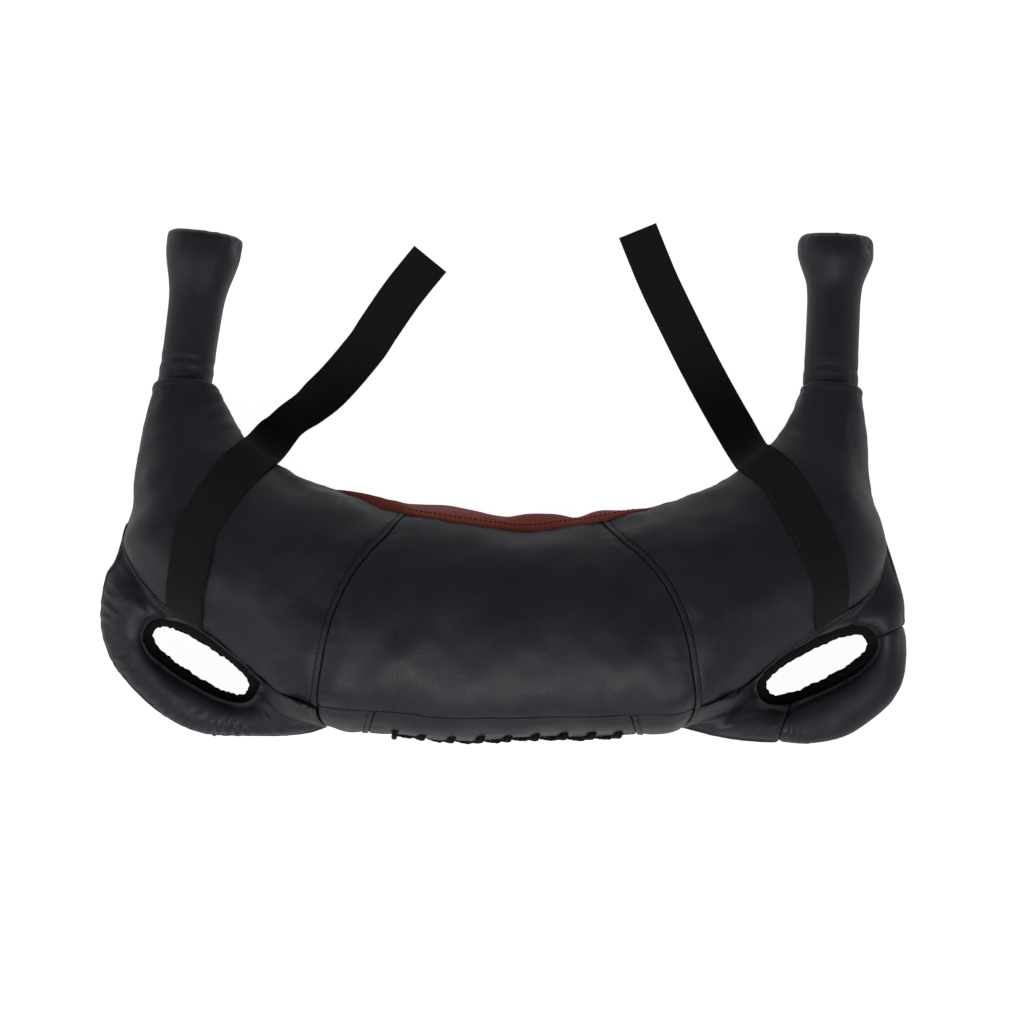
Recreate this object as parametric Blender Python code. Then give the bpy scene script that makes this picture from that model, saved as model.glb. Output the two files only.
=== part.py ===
"""Stuffed crescent training bag with two grips, two hand loops, two swing straps and a laced slit.

The bag lies on its back. The front panels look up (+Z), the horns with the grips point to +Y, and
the origin is on the flat patch under the middle of the bag. All lengths are in metres.

The stuffed body is one loft: stations run from the left horn's mouth round to the right horn's
mouth, and at each station a rounded section stands between an inner edge point (the side towards
the neck) and an outer edge point. A place on the skin is a station and an angle round the section:
0 is the outer edge, 90 the front, 180 the inner edge and 270 the back. Every panel, seam, strap and
filling is a patch or a ring in those two coordinates at its own depth below the skin.
"""

import math

import bmesh
import bpy
from mathutils import Matrix, Vector

# Driving sizes of the whole bag
BAG_HALF_WIDTH = 0.338
BAG_HEIGHT = 0.300
HALF_THICKNESS = 0.084
SECTION_POWER = 2.4

# Leather panels and their seams
PANEL_WALL = 0.0018
SEAM_GAP = 0.0004
FILL_CLEARANCE = 0.0026
CORNER_FILL_SETBACK = 0.0125
SETBACK_DEGREES = 15
SETBACK_FADE_DEGREES = 40
BAG_TO_BAG_GAP = 0.0006

# Hand holes, their tape and the padded loops
HOLE_HALF_LENGTH = 0.0550
HOLE_HALF_WIDTH = 0.0215
HOLE_POWER = 2.5
RIM_HEIGHT = 0.046
RIM_TILT_RISE = 0.008
LOOP_HEIGHT = 0.038
LOOP_BULGE = 0.018
LEAST_STRIP_BULGE = 0.003
TAPE_RISE = 0.010
TAPE_BAND = 0.0075
TAPE_WALL = 0.0022
CORE_CLEARANCE = 0.0008

# Grips
GRIP_LENGTH = 0.127
GRIP_RADIUS = 0.0226
GRIP_FLARE_RADIUS = 0.0320
GRIP_WALL = 0.0020
GRIP_CORE_CLEARANCE = 0.0006
GRIP_ROOT_RADIUS = 0.0170
GRIP_ROOT_CLEARANCE = 0.0008
GRIP_SHOULDER = 0.021
GRIP_HINGE_OFFSET = 0.003
GRIP_CAP_WALL = 0.0022
GRIP_CAP_DOME = 0.0035
GRIP_DROOP_DEGREES = 3.6

# Webbing straps
WEBBING_WIDTH = 0.0330
WEBBING_THICKNESS = 0.0016
WEBBING_GAP = 0.0010
TAIL_LENGTH = 0.215
TAIL_DROP_RUN = 0.024
TAIL_FLOOR_CLEARANCE = 0.0004
TAIL_HINGE_GAP = 0.0006

# Neck pad
PAD_RISE = 0.0075
PAD_COVER_WALL = 0.0016
PAD_FOAM_CLEARANCE = 0.0009
PAD_FOAM_INSET_DEGREES = 6.0
PAD_CROWN_POWER = 0.7

# Laced slit in the bottom strip
LIP_WALL = 0.0026
SLIT_HALF_WIDTH = 0.0080
LACE_HOLE_OFFSET = 0.0200
LACE_HOLE_RADIUS = 0.0031
LACE_RADIUS = 0.0018
LACE_GAP = 0.0007
LACE_PITCH = 0.0235
LACE_HOLE_COUNT = 9
LACE_CROSSING_SHARE = 0.5
LACE_LANDING_SHARE = 0.8
TONGUE_WALL = 0.0016
TONGUE_HALF_WIDTH = 0.026
TONGUE_END_GAP = 0.0016
CUT_OVERRUN = 0.004

# Facets
SIDE_COLUMNS = 15
CENTRE_COLUMNS = 8
PANEL_ROWS = 10
RING_SIDES = 18
LEAF_ROWS = 5
PAD_ROWS = 8
GRIP_SIDES = 16
CORNER_STRIP_STEPS = 3
STRIP_COLUMNS = 4
STRIP_SECTION_ROWS = 8
LIP_COLUMNS = 18
LIP_ROWS = 3
TONGUE_COLUMNS = 12
TONGUE_ROWS = 4
HOLE_SIDES = 8
CORD_SIDES = 6
CORD_SPAN_STEPS = 2
CENTRE_BAG_STEPS = 8
STRAP_ROWS = 14
STRAP_COLUMNS = 3
TAIL_ROWS = 18
TAIL_DROP_ROWS = 6
TAIL_ROUTE_STEPS = 60
STEP_ALONG_SHARE = 0.01
STEP_ROUND_DEGREES = 0.5

# One row per station from the left mouth to the right mouth: inner edge x and y, outer edge x and
# y (shares of BAG_HALF_WIDTH and BAG_HEIGHT), then half thickness and middle height (shares of
# HALF_THICKNESS).
STATION_SHARES = [
    (-0.723, 0.678, -0.875, 0.700, 0.298, 0.500),
    (-0.661, 0.560, -0.902, 0.560, 0.440, 0.524),
    (-0.604, 0.498, -0.924, 0.364, 0.583, 0.595),
    (-0.562, 0.465, -0.954, 0.238, 0.690, 0.655),
    (-0.509, 0.423, -0.892, 0.090, 0.762, 0.714),
    (-0.447, 0.398, -0.790, 0.014, 0.833, 0.774),
    (-0.373, 0.375, -0.666, -0.098, 0.893, 0.821),
    (-0.286, 0.344, -0.549, -0.213, 0.940, 0.869),
    (-0.186, 0.325, -0.385, -0.283, 0.976, 0.905),
    (0.000, 0.300, 0.000, -0.305, 1.000, 0.923),
    (0.174, 0.302, 0.373, -0.283, 0.976, 0.905),
    (0.291, 0.325, 0.564, -0.213, 0.940, 0.869),
    (0.398, 0.353, 0.681, -0.092, 0.893, 0.821),
    (0.472, 0.384, 0.808, 0.014, 0.833, 0.774),
    (0.529, 0.409, 0.915, 0.084, 0.762, 0.714),
    (0.579, 0.445, 0.947, 0.218, 0.690, 0.655),
    (0.639, 0.501, 0.915, 0.392, 0.583, 0.595),
    (0.688, 0.560, 0.892, 0.560, 0.440, 0.524),
    (0.743, 0.683, 0.882, 0.676, 0.298, 0.500),
]
LAST_STATION = len(STATION_SHARES) - 1
MIDDLE_STATION = LAST_STATION / 2

# Places of the seams along the bag, counted in rows of the table above from the nearer mouth
CORNER_SEAM_STATION_SHARE = 2.5
ARC_SEAM_STATION_SHARE = 7.5
ARC_SEAM_BOW_SHARE = 0.56
STRIP_END_SHIFT_SHARE = 0.25
STRIP_CROSS_STATION_SHARE = 8.15
PAD_END_STATION_SHARE = 5.72
PAD_TIP_SHARE = 0.7
FILL_START_STATION_SHARE = 0.12

# Angle of the corner seam above the outer edge: station from the mouth, degrees
CORNER_SEAM_DEGREES = [
    (2.5, 0), (3.0, 9), (3.5, 18), (4.0, 26), (4.5, 24), (5.0, 20.5), (6.0, 20.5), (7.0, 27), (7.5, 31.5),
]
# Angle of the bottom strip's seam above the outer edge
STRIP_SEAM_DEGREES = [(7.5, 31.5), (8.0, 36.5), (8.5, 39), (9.0, 39.5)]
# Angle of the neck pad's seam from the inner edge
PAD_SEAM_DEGREES = [(5.5, 0), (5.75, 4), (6.0, 8), (6.5, 12.5), (7.0, 16.5), (8.0, 23.5), (9.0, 25)]
# Rise of the neck pad along its length
PAD_RISE_SHARES = [(5.5, 0.0), (6.0, 0.3), (7.0, 0.8), (8.0, 1.0), (9.0, 1.0)]
# Sideways bow of the arc seam: share of its way from the strip to the inner edge, share of the bow
ARC_SEAM_SHARES = [
    (0, 0), (0.2, 0.44), (0.3, 0.72), (0.42, 1), (0.52, 1), (0.62, 0.82), (0.71, 0.5), (1, 0),
]

# Silhouette of each corner piece from the bottom strip round to the shoulder (shares of
# BAG_HALF_WIDTH and BAG_HEIGHT), without its two ends, which lie on the body
SILHOUETTE_SHARES = {
    "left": [
        (-0.490, -0.286), (-0.559, -0.294), (-0.646, -0.294), (-0.728, -0.291), (-0.800, -0.269),
        (-0.870, -0.224), (-0.929, -0.162), (-0.977, -0.090), (-1.002, -0.006), (-1.004, 0.078),
        (-0.992, 0.154), (-0.969, 0.202),
    ],
    "right": [
        (0.519, -0.294), (0.589, -0.308), (0.681, -0.316), (0.763, -0.314), (0.845, -0.294),
        (0.912, -0.249), (0.962, -0.193), (0.989, -0.115), (0.994, -0.028), (0.992, 0.014),
        (0.988, 0.090), (0.972, 0.168),
    ],
}
# Rows of the right silhouette at which the hand loop is sewn on
LOOP_SEAM_ROWS = (3, 10)
CORE_ROWS = (1, 12)

HOLE_CENTRE_SHARES = {"left": (-0.758, -0.087), "right": (0.777, -0.099)}
HOLE_TILT_DEGREES = {"left": -32.4, "right": 26.8}
HOLE_FOLLOW_SHARE = 0.45

# Lean of each grip towards +X
GRIP_LEAN_DEGREES = {"left": 8.0, "right": 2.5}
# Grip outline: distance as a share of GRIP_LENGTH, flare as a share of the flare's extra radius
GRIP_PROFILE_SHARES = [
    (0.00, 0.28), (0.04, 0.15), (0.10, 0.05), (0.25, 0.00), (0.50, 0.00), (0.66, 0.03),
    (0.74, 0.17), (0.81, 0.50), (0.87, 0.83), (0.92, 1.00), (0.96, 0.98), (1.00, 0.66),
]

# Middle line of each strap on the body: station from the mouth, degrees round the section
STRAP_ROUTE_DEGREES = {
    "left": [
        (4.90, 10), (4.70, 32), (4.38, 51), (4.0, 68), (3.62, 80), (3.28, 91), (2.85, 104), (2.32, 123),
        (2.06, 148), (1.96, 180),
    ],
    "right": [
        (4.95, 10), (4.80, 32), (4.50, 51), (4.08, 68), (3.66, 82), (3.26, 93), (2.88, 105), (2.56, 121),
        (2.42, 145), (2.34, 180),
    ],
}
# Free tail of each strap: plan steps from its hinge as shares of TAIL_LENGTH
TAIL_ROUTE_SHARES = {
    "left": [
        (0, 0), (0.082, 0.082), (0.188, 0.180), (0.302, 0.310), (0.424, 0.455), (0.534, 0.612),
        (0.656, 0.754),
    ],
    "right": [
        (0, 0), (-0.067, 0.101), (-0.121, 0.187), (-0.211, 0.344), (-0.301, 0.520), (-0.383, 0.695),
        (-0.457, 0.891),
    ],
}

SIDES = ("left", "right")
LEAF_SIGN_SHARES = {"front": 1, "back": -1}


def clear_scene():
    for item in list(bpy.data.objects):
        bpy.data.objects.remove(item, do_unlink=True)


def make_material(name, colour, roughness, metallic=0.0):
    material = bpy.data.materials.new(name)
    material.use_nodes = True
    shader = material.node_tree.nodes["Principled BSDF"]
    shader.inputs["Base Color"].default_value = (*colour, 1.0)
    shader.inputs["Roughness"].default_value = roughness
    shader.inputs["Metallic"].default_value = metallic
    return material


def add_object(name, body, material, frame=None):
    """Link a finished solid, with its origin at the frame's origin."""
    bmesh.ops.recalc_face_normals(body, faces=body.faces)
    mesh = bpy.data.meshes.new(name)
    if frame is not None:
        body.transform(frame.inverted())
    body.to_mesh(mesh)
    body.free()
    mesh.shade_smooth()
    mesh.set_sharp_from_angle(angle=math.radians(40))
    mesh.materials.append(material)
    item = bpy.data.objects.new(name, mesh)
    if frame is not None:
        item.matrix_world = frame
    bpy.context.collection.objects.link(item)
    return item


def add_cutter(name, body):
    """Link a solid that only cuts others."""
    bmesh.ops.recalc_face_normals(body, faces=body.faces)
    mesh = bpy.data.meshes.new(name)
    body.to_mesh(mesh)
    body.free()
    item = bpy.data.objects.new(name, mesh)
    item.hide_render = True
    item.display_type = "WIRE"
    bpy.context.collection.objects.link(item)
    return item


def cut(item, cutter):
    modifier = item.modifiers.new("cut", "BOOLEAN")
    modifier.operation = "DIFFERENCE"
    modifier.solver = "EXACT"
    modifier.object = cutter


def mix(start, end, share):
    return start + (end - start) * share


def smooth_step(share):
    share = min(max(share, 0.0), 1.0)
    return share * share * (3 - 2 * share)


def spline_row(rows, position):
    """Catmull-Rom value of a table at a fractional row number."""
    last = len(rows) - 1
    position = min(max(position, 0.0), float(last))
    index = min(int(position), last - 1)
    share = position - index
    picked = [rows[min(max(index + step, 0), last)] for step in (-1, 0, 1, 2)]
    values = []
    for before, start, end, after in zip(*picked):
        slope_start = (end - before) / 2
        slope_end = (after - start) / 2
        values.append(hermite(start, end, slope_start, slope_end, share))
    return values


def hermite(start, end, slope_start, slope_end, share):
    squared = share * share
    cubed = squared * share
    blend = 2 * cubed - 3 * squared
    return (
        start * (blend + 1)
        - end * blend
        + slope_start * (cubed - 2 * squared + share)
        + slope_end * (cubed - squared)
    )


def table_value(table, key):
    """Smooth value of a two-column table at a key."""
    if key <= table[0][0]:
        return table[0][1]
    if key >= table[-1][0]:
        return table[-1][1]
    index = max(number for number, row in enumerate(table[:-1]) if row[0] <= key)
    low, high = table[index], table[index + 1]
    width = high[0] - low[0]

    def slope(number):
        if number in (0, len(table) - 1):
            return (high[1] - low[1]) / width
        below, above = table[number - 1], table[number + 1]
        return (above[1] - below[1]) / (above[0] - below[0])

    share = (key - low[0]) / width
    return hermite(low[1], high[1], slope(index) * width, slope(index + 1) * width, share)


def from_mouth(station):
    return min(station, LAST_STATION - station)


def on_side(side, station):
    """Station number on the whole loft of a station counted from that side's mouth."""
    return station if side == "left" else LAST_STATION - station


def rounded(value, power=SECTION_POWER):
    """Superellipse form of a sine or cosine."""
    return math.copysign(abs(value) ** (2 / power), value)


def section(station):
    row = spline_row(STATION_SHARES, station)
    inner = Vector((row[0] * BAG_HALF_WIDTH, row[1] * BAG_HEIGHT, 0))
    outer = Vector((row[2] * BAG_HALF_WIDTH, row[3] * BAG_HEIGHT, 0))
    return inner, outer, row[4] * HALF_THICKNESS, row[5] * HALF_THICKNESS


def body_point(station, degrees, depth=0.0):
    """Point of the stuffed body at a depth below its skin. Where it lies on the ground it is flat."""
    inner, outer, half_thickness, middle = section(station)
    across = outer - inner
    centre = (inner + outer) / 2
    angle = math.radians(degrees)
    point = centre + across.normalized() * (across.length / 2 - depth) * rounded(math.cos(angle))
    height = middle + (half_thickness - depth) * rounded(math.sin(angle))
    point.z = max(height, depth)
    return point


def body_normal(station, degrees):
    """Outward direction of the skin."""
    along = body_point(station + STEP_ALONG_SHARE, degrees) - body_point(station - STEP_ALONG_SHARE, degrees)
    around = body_point(station, degrees + STEP_ROUND_DEGREES)
    around -= body_point(station, degrees - STEP_ROUND_DEGREES)
    normal = along.cross(around).normalized()
    inner, outer, _, middle = section(station)
    centre = (inner + outer) / 2
    centre.z = middle
    outward = body_point(station, degrees) - centre
    return normal if normal.dot(outward) > 0 else -normal


def corner_seam_degrees(station):
    return table_value(CORNER_SEAM_DEGREES, from_mouth(station))


def strip_seam_degrees(station):
    return table_value(STRIP_SEAM_DEGREES, from_mouth(station))


def pad_seam_degrees(station):
    """Half angle of the neck pad, zero beyond its ends."""
    return table_value(PAD_SEAM_DEGREES, from_mouth(station))


def lower_seam_degrees(station):
    """Angle at which the front and back panels end above the outer edge."""
    place = from_mouth(station)
    if place <= CORNER_SEAM_STATION_SHARE:
        return 0.0
    if place <= ARC_SEAM_STATION_SHARE:
        return corner_seam_degrees(station)
    return strip_seam_degrees(station)


def arc_seam_place(side, share):
    """Station and angle of the seam between the centre and a side panel, from the strip to the pad."""
    end = on_side(side, ARC_SEAM_STATION_SHARE)
    low = strip_seam_degrees(end)
    degrees = mix(low, 180 - pad_seam_degrees(end), share)
    if share in (0, 1):
        return end, degrees
    bow = ARC_SEAM_BOW_SHARE * table_value(ARC_SEAM_SHARES, (degrees - low) / (180 - low))
    return on_side(side, ARC_SEAM_STATION_SHARE - bow), degrees


def patch_places(bottom, top, left, right, columns, rows):
    """Grid of station and angle pairs between four edge curves (a Coons patch)."""
    corners = bottom(0), bottom(1), top(0), top(1)
    grid = []
    for row in range(rows + 1):
        up = row / rows
        line = []
        for column in range(columns + 1):
            along = column / columns
            place = []
            for axis in (0, 1):
                ruled = mix(bottom(along)[axis], top(along)[axis], up)
                ruled += mix(left(up)[axis], right(up)[axis], along)
                ruled -= mix(mix(corners[0][axis], corners[1][axis], along),
                             mix(corners[2][axis], corners[3][axis], along), up)
                place.append(ruled)
            line.append(tuple(place))
        grid.append(line)
    return grid


def toward(point, other, distance):
    return point + (other - point).normalized() * distance


def trimmed(grid, bottom=0.0, top=0.0, left=0.0, right=0.0):
    """Grid of points whose border rows are drawn in by the given distances."""
    result = [list(row) for row in grid]
    for column in range(len(result[0])):
        result[0][column] = toward(result[0][column], result[1][column], bottom)
        result[-1][column] = toward(result[-1][column], result[-2][column], top)
    for row in result:
        row[0] = toward(row[0], row[1], left)
        row[-1] = toward(row[-1], row[-2], right)
    return result


def sheet_solid(outer, inner, closed=False):
    """Solid between two point grids. A closed one joins its last column to its first."""
    body = bmesh.new()
    over = [[body.verts.new(point) for point in row] for row in outer]
    under = [[body.verts.new(point) for point in row] for row in inner]
    columns = len(outer[0])
    steps = columns if closed else columns - 1
    for column in range(steps):
        beside = (column + 1) % columns
        for layer in (over, under):
            for low, high in zip(layer, layer[1:]):
                body.faces.new((low[column], low[beside], high[beside], high[column]))
        for row in (0, -1):
            body.faces.new((over[row][column], under[row][column], under[row][beside], over[row][beside]))
    if not closed:
        for column in (0, -1):
            for row in range(len(outer) - 1):
                first, second = over[row][column], over[row + 1][column]
                body.faces.new((first, second, under[row + 1][column], under[row][column]))
    return body


def ring_solid(rings):
    """Solid through a row of closed rings, with flat ends."""
    body = bmesh.new()
    loops = [[body.verts.new(point) for point in ring] for ring in rings]
    count = len(loops[0])
    for first, second in zip(loops, loops[1:]):
        for index in range(count):
            beside = (index + 1) % count
            body.faces.new((first[index], first[beside], second[beside], second[index]))
    body.faces.new(loops[0])
    body.faces.new(list(reversed(loops[-1])))
    return body


def closed_ring_solid(rings):
    """Ring of closed sections, the last joined to the first."""
    body = bmesh.new()
    loops = [[body.verts.new(point) for point in ring] for ring in rings]
    count = len(loops[0])
    for number, first in enumerate(loops):
        second = loops[(number + 1) % len(loops)]
        for index in range(count):
            beside = (index + 1) % count
            body.faces.new((first[index], first[beside], second[beside], second[index]))
    return body


def turned_solid(profile, sides, frame):
    """Solid of revolution about the frame's Z. The profile's ends lie on the axis."""
    body = bmesh.new()
    poles = [body.verts.new((0, 0, height)) for _, height in (profile[0], profile[-1])]
    loops = []
    for radius, height in profile[1:-1]:
        loop = []
        for side in range(sides):
            angle = math.tau * side / sides
            loop.append(body.verts.new((radius * math.cos(angle), radius * math.sin(angle), height)))
        loops.append(loop)
    for side in range(sides):
        beside = (side + 1) % sides
        body.faces.new((poles[0], loops[0][beside], loops[0][side]))
        body.faces.new((poles[1], loops[-1][side], loops[-1][beside]))
        for first, second in zip(loops, loops[1:]):
            body.faces.new((first[side], first[beside], second[beside], second[side]))
    body.transform(frame)
    return body


def skin(places, outer_depth, inner_depth, trims):
    """Solid patch of the body between two depths, each a number or a function of the place."""
    def layer(depth):
        grid = []
        for row in places:
            depths = [depth(*place) if callable(depth) else depth for place in row]
            grid.append([body_point(*place, deep) for place, deep in zip(row, depths)])
        return trimmed(grid, **trims)

    return sheet_solid(layer(outer_depth), layer(inner_depth))


def side_panel(side, leaf):
    """Panel from a horn's mouth to the arc seam, on the front or the back."""
    def bottom(share):
        station = on_side(side, ARC_SEAM_STATION_SHARE * share)
        return station, lower_seam_degrees(station)

    def top(share):
        station = on_side(side, ARC_SEAM_STATION_SHARE * share)
        return station, 180 - pad_seam_degrees(station)

    def mouth(share):
        return on_side(side, 0), 180 * share

    def arc(share):
        return arc_seam_place(side, share)

    places = patch_places(bottom, top, mouth, arc, SIDE_COLUMNS, PANEL_ROWS)
    places = [[(station, leaf * degrees) for station, degrees in row] for row in places]
    half = SEAM_GAP / 2
    return skin(places, 0.0, PANEL_WALL, dict(bottom=half, top=half, left=half, right=half))


def centre_panel(leaf):
    """Panel between the two arc seams."""
    station_ends = [on_side(side, ARC_SEAM_STATION_SHARE) for side in SIDES]

    def bottom(share):
        station = mix(*station_ends, share)
        return station, strip_seam_degrees(station)

    def top(share):
        station = mix(*station_ends, share)
        return station, 180 - pad_seam_degrees(station)

    def left_arc(share):
        return arc_seam_place("left", share)

    def right_arc(share):
        return arc_seam_place("right", share)

    places = patch_places(bottom, top, left_arc, right_arc, CENTRE_COLUMNS, PANEL_ROWS)
    places = [[(station, leaf * degrees) for station, degrees in row] for row in places]
    half = SEAM_GAP / 2
    return skin(places, 0.0, PANEL_WALL, dict(bottom=half, top=half, left=half, right=half))


def pad_rise(station, degrees):
    """Height of the neck pad above the body, nothing at its seams."""
    half_angle = pad_seam_degrees(station)
    reach = abs(degrees - 180) / half_angle
    crown = max(1 - reach * reach, 0.0) ** PAD_CROWN_POWER
    return PAD_RISE * table_value(PAD_RISE_SHARES, from_mouth(station)) * crown


def pad_places(inset, rows):
    """Grid of the neck pad, with a column wherever the panels beside it have one."""
    half = [PAD_END_STATION_SHARE]
    side_step = ARC_SEAM_STATION_SHARE / SIDE_COLUMNS
    half += [step * side_step for step in range(SIDE_COLUMNS) if step * side_step > PAD_END_STATION_SHARE]
    centre_step = (MIDDLE_STATION - ARC_SEAM_STATION_SHARE) * 2 / CENTRE_COLUMNS
    half += [ARC_SEAM_STATION_SHARE + step * centre_step for step in range(CENTRE_COLUMNS // 2)]
    stations = half + [MIDDLE_STATION] + [LAST_STATION - station for station in reversed(half)]
    grid = []
    for row in range(rows + 1):
        line = []
        for column, station in enumerate(stations):
            half_angle = max(pad_seam_degrees(station) - inset, pad_seam_degrees(station) / 3)
            if column in (0, len(stations) - 1):
                half_angle *= PAD_TIP_SHARE
            line.append((station, mix(180 - half_angle, 180 + half_angle, row / rows)))
        grid.append(line)
    return grid


def neck_pad_cover():
    def over(station, degrees):
        return -pad_rise(station, degrees)

    def under(station, degrees):
        return PAD_COVER_WALL - pad_rise(station, degrees)

    half = SEAM_GAP / 2
    return skin(pad_places(0.0, PAD_ROWS), over, under, dict(bottom=half, top=half, left=half, right=half))


def neck_pad_foam():
    def over(station, degrees):
        return PAD_COVER_WALL + PAD_FOAM_CLEARANCE - pad_rise(station, degrees)

    def under(station, degrees):
        return PANEL_WALL + FILL_CLEARANCE - PAD_FOAM_CLEARANCE

    places = [row[1:-1] for row in pad_places(PAD_FOAM_INSET_DEGREES, PAD_ROWS)]
    return skin(places, over, under, dict(left=PAD_FOAM_CLEARANCE, right=PAD_FOAM_CLEARANCE))


def strip_section(side):
    """End of the bottom strip between the corner piece and the laced part."""
    def near(share):
        slope = 1 - abs(2 * share - 1)
        low = strip_seam_degrees(on_side(side, ARC_SEAM_STATION_SHARE))
        return on_side(side, ARC_SEAM_STATION_SHARE + STRIP_END_SHIFT_SHARE * slope), mix(-low, low, share)

    def far(share):
        station = on_side(side, STRIP_CROSS_STATION_SHARE)
        low = strip_seam_degrees(station)
        return station, mix(-low, low, share)

    def edge(leaf):
        def line(share):
            station = on_side(side, mix(ARC_SEAM_STATION_SHARE, STRIP_CROSS_STATION_SHARE, share))
            return station, leaf * strip_seam_degrees(station)
        return line

    places = patch_places(edge(-1), edge(1), near, far, STRIP_COLUMNS, STRIP_SECTION_ROWS)
    half = SEAM_GAP / 2
    return skin(places, 0.0, PANEL_WALL, dict(bottom=half, top=half, left=half, right=half))


def edge_degrees(station, offset):
    """Angle at which the skin is an offset above the outer edge."""
    share = min(offset / section(station)[2], 1.0)
    return math.degrees(math.asin(share ** (SECTION_POWER / 2)))


def lace_station(number):
    """Station of a pair of lace holes, counted from the left."""
    middle = (LACE_HOLE_COUNT - 1) / 2
    reach = body_point(MIDDLE_STATION + STEP_ALONG_SHARE, 0) - body_point(MIDDLE_STATION, 0)
    return MIDDLE_STATION + (number - middle) * LACE_PITCH * STEP_ALONG_SHARE / reach.length


def lacing_lip(leaf):
    """Half of the laced section, from the strip's seam to the slit, before its holes."""
    ends = [on_side(side, STRIP_CROSS_STATION_SHARE) for side in SIDES]
    grid = []
    for row in range(LIP_ROWS + 1):
        line = []
        for column in range(LIP_COLUMNS + 1):
            station = mix(*ends, column / LIP_COLUMNS)
            low = edge_degrees(station, SLIT_HALF_WIDTH)
            degrees = mix(low, strip_seam_degrees(station), row / LIP_ROWS)
            line.append((station, leaf * degrees))
        grid.append(line)
    half = SEAM_GAP / 2
    return skin(grid, 0.0, LIP_WALL, dict(top=half, left=half, right=half))


def lace_hole_cutter(leaf):
    """Row of round cutters through one lip."""
    body = bmesh.new()
    for number in range(LACE_HOLE_COUNT):
        station = lace_station(number)
        degrees = leaf * edge_degrees(station, LACE_HOLE_OFFSET)
        centre = body_point(station, degrees, LIP_WALL / 2)
        turn = body_normal(station, degrees).to_track_quat("Z", "Y").to_matrix().to_4x4()
        bmesh.ops.create_cone(
            body, cap_ends=True, segments=HOLE_SIDES, radius1=LACE_HOLE_RADIUS, radius2=LACE_HOLE_RADIUS,
            depth=LIP_WALL + 2 * CUT_OVERRUN, matrix=Matrix.Translation(centre) @ turn,
        )
    return body


def tongue_depth():
    """Depth of the tongue's outer face: the lip, the lace inside it and their gaps."""
    return LIP_WALL + 2 * LACE_RADIUS + 3 * LACE_GAP


def lacing_tongue():
    ends = [on_side(side, STRIP_CROSS_STATION_SHARE) for side in SIDES]
    grid = []
    for row in range(TONGUE_ROWS + 1):
        line = []
        for column in range(TONGUE_COLUMNS + 1):
            station = mix(*ends, column / TONGUE_COLUMNS)
            half_angle = edge_degrees(station, TONGUE_HALF_WIDTH)
            line.append((station, mix(-half_angle, half_angle, row / TONGUE_ROWS)))
        grid.append(line)
    depth = tongue_depth()
    return skin(grid, depth, depth + TONGUE_WALL, dict(left=TONGUE_END_GAP, right=TONGUE_END_GAP))


def lace_point(station, offset, lift):
    """Point over the slit or a lip: offset above the outer edge, lift above the skin."""
    degrees = math.copysign(edge_degrees(station, abs(offset)), offset) if offset else 0.0
    return body_point(station, degrees) + body_normal(station, degrees) * lift


def lace_strand(first_leaf):
    """One strand of the criss-cross: over the slit, down through a hole, back out of the slit."""
    over_lip = LACE_RADIUS + LACE_GAP
    in_lip = -(LIP_WALL + LACE_RADIUS + LACE_GAP)
    out_of_slit = SLIT_HALF_WIDTH - LACE_RADIUS - LACE_GAP
    bend = LACE_HOLE_OFFSET - LACE_RADIUS / 2
    crossing = over_lip if first_leaf > 0 else over_lip - 2 * LACE_RADIUS - LACE_GAP
    points = []
    for number in range(LACE_HOLE_COUNT):
        leaf = first_leaf * (-1) ** number
        station = lace_station(number)
        points.append(lace_point(station, leaf * bend, over_lip))
        points.append(lace_point(station, leaf * bend, in_lip))
        points.append(lace_point(station, leaf * SLIT_HALF_WIDTH, in_lip))
        points.append(lace_point(station, leaf * out_of_slit / 2, -LIP_WALL / 2))
        if number < LACE_HOLE_COUNT - 1:
            middle = lace_station(number + LACE_CROSSING_SHARE)
            landing = lace_station(number + LACE_LANDING_SHARE)
            points.append(lace_point(middle, 0.0, crossing))
            points.append(lace_point(landing, -leaf * SLIT_HALF_WIDTH, over_lip))
    return points


def smooth_route(points, parts):
    """Points of the smooth curve through a route, so many to each of its spans."""
    steps = (len(points) - 1) * parts
    return [Vector(spline_row(points, step / parts)) for step in range(steps + 1)]


def tube_solid(points, radius, sides):
    """Round tube along points, with a frame carried along so that it doesn't twist."""
    tangents = []
    for index in range(len(points)):
        ahead = points[min(index + 1, len(points) - 1)]
        behind = points[max(index - 1, 0)]
        tangents.append((ahead - behind).normalized())
    side = tangents[0].orthogonal().normalized()
    rings = []
    for point, tangent in zip(points, tangents):
        side = (side - tangent * side.dot(tangent)).normalized()
        up = tangent.cross(side)
        ring = []
        for number in range(sides):
            angle = math.tau * number / sides
            ring.append(point + (side * math.cos(angle) + up * math.sin(angle)) * radius)
        rings.append(ring)
    return ring_solid(rings)


def lacing_cord():
    """One lace: a bar across the first pair of holes, then both halves criss-cross to the right."""
    bar = [lace_point(lace_station(0), leaf * SLIT_HALF_WIDTH, LACE_RADIUS + LACE_GAP) for leaf in (1, -1)]
    route = list(reversed(lace_strand(1))) + bar + lace_strand(-1)
    return tube_solid(smooth_route(route, CORD_SPAN_STEPS), LACE_RADIUS, CORD_SIDES)


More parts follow.
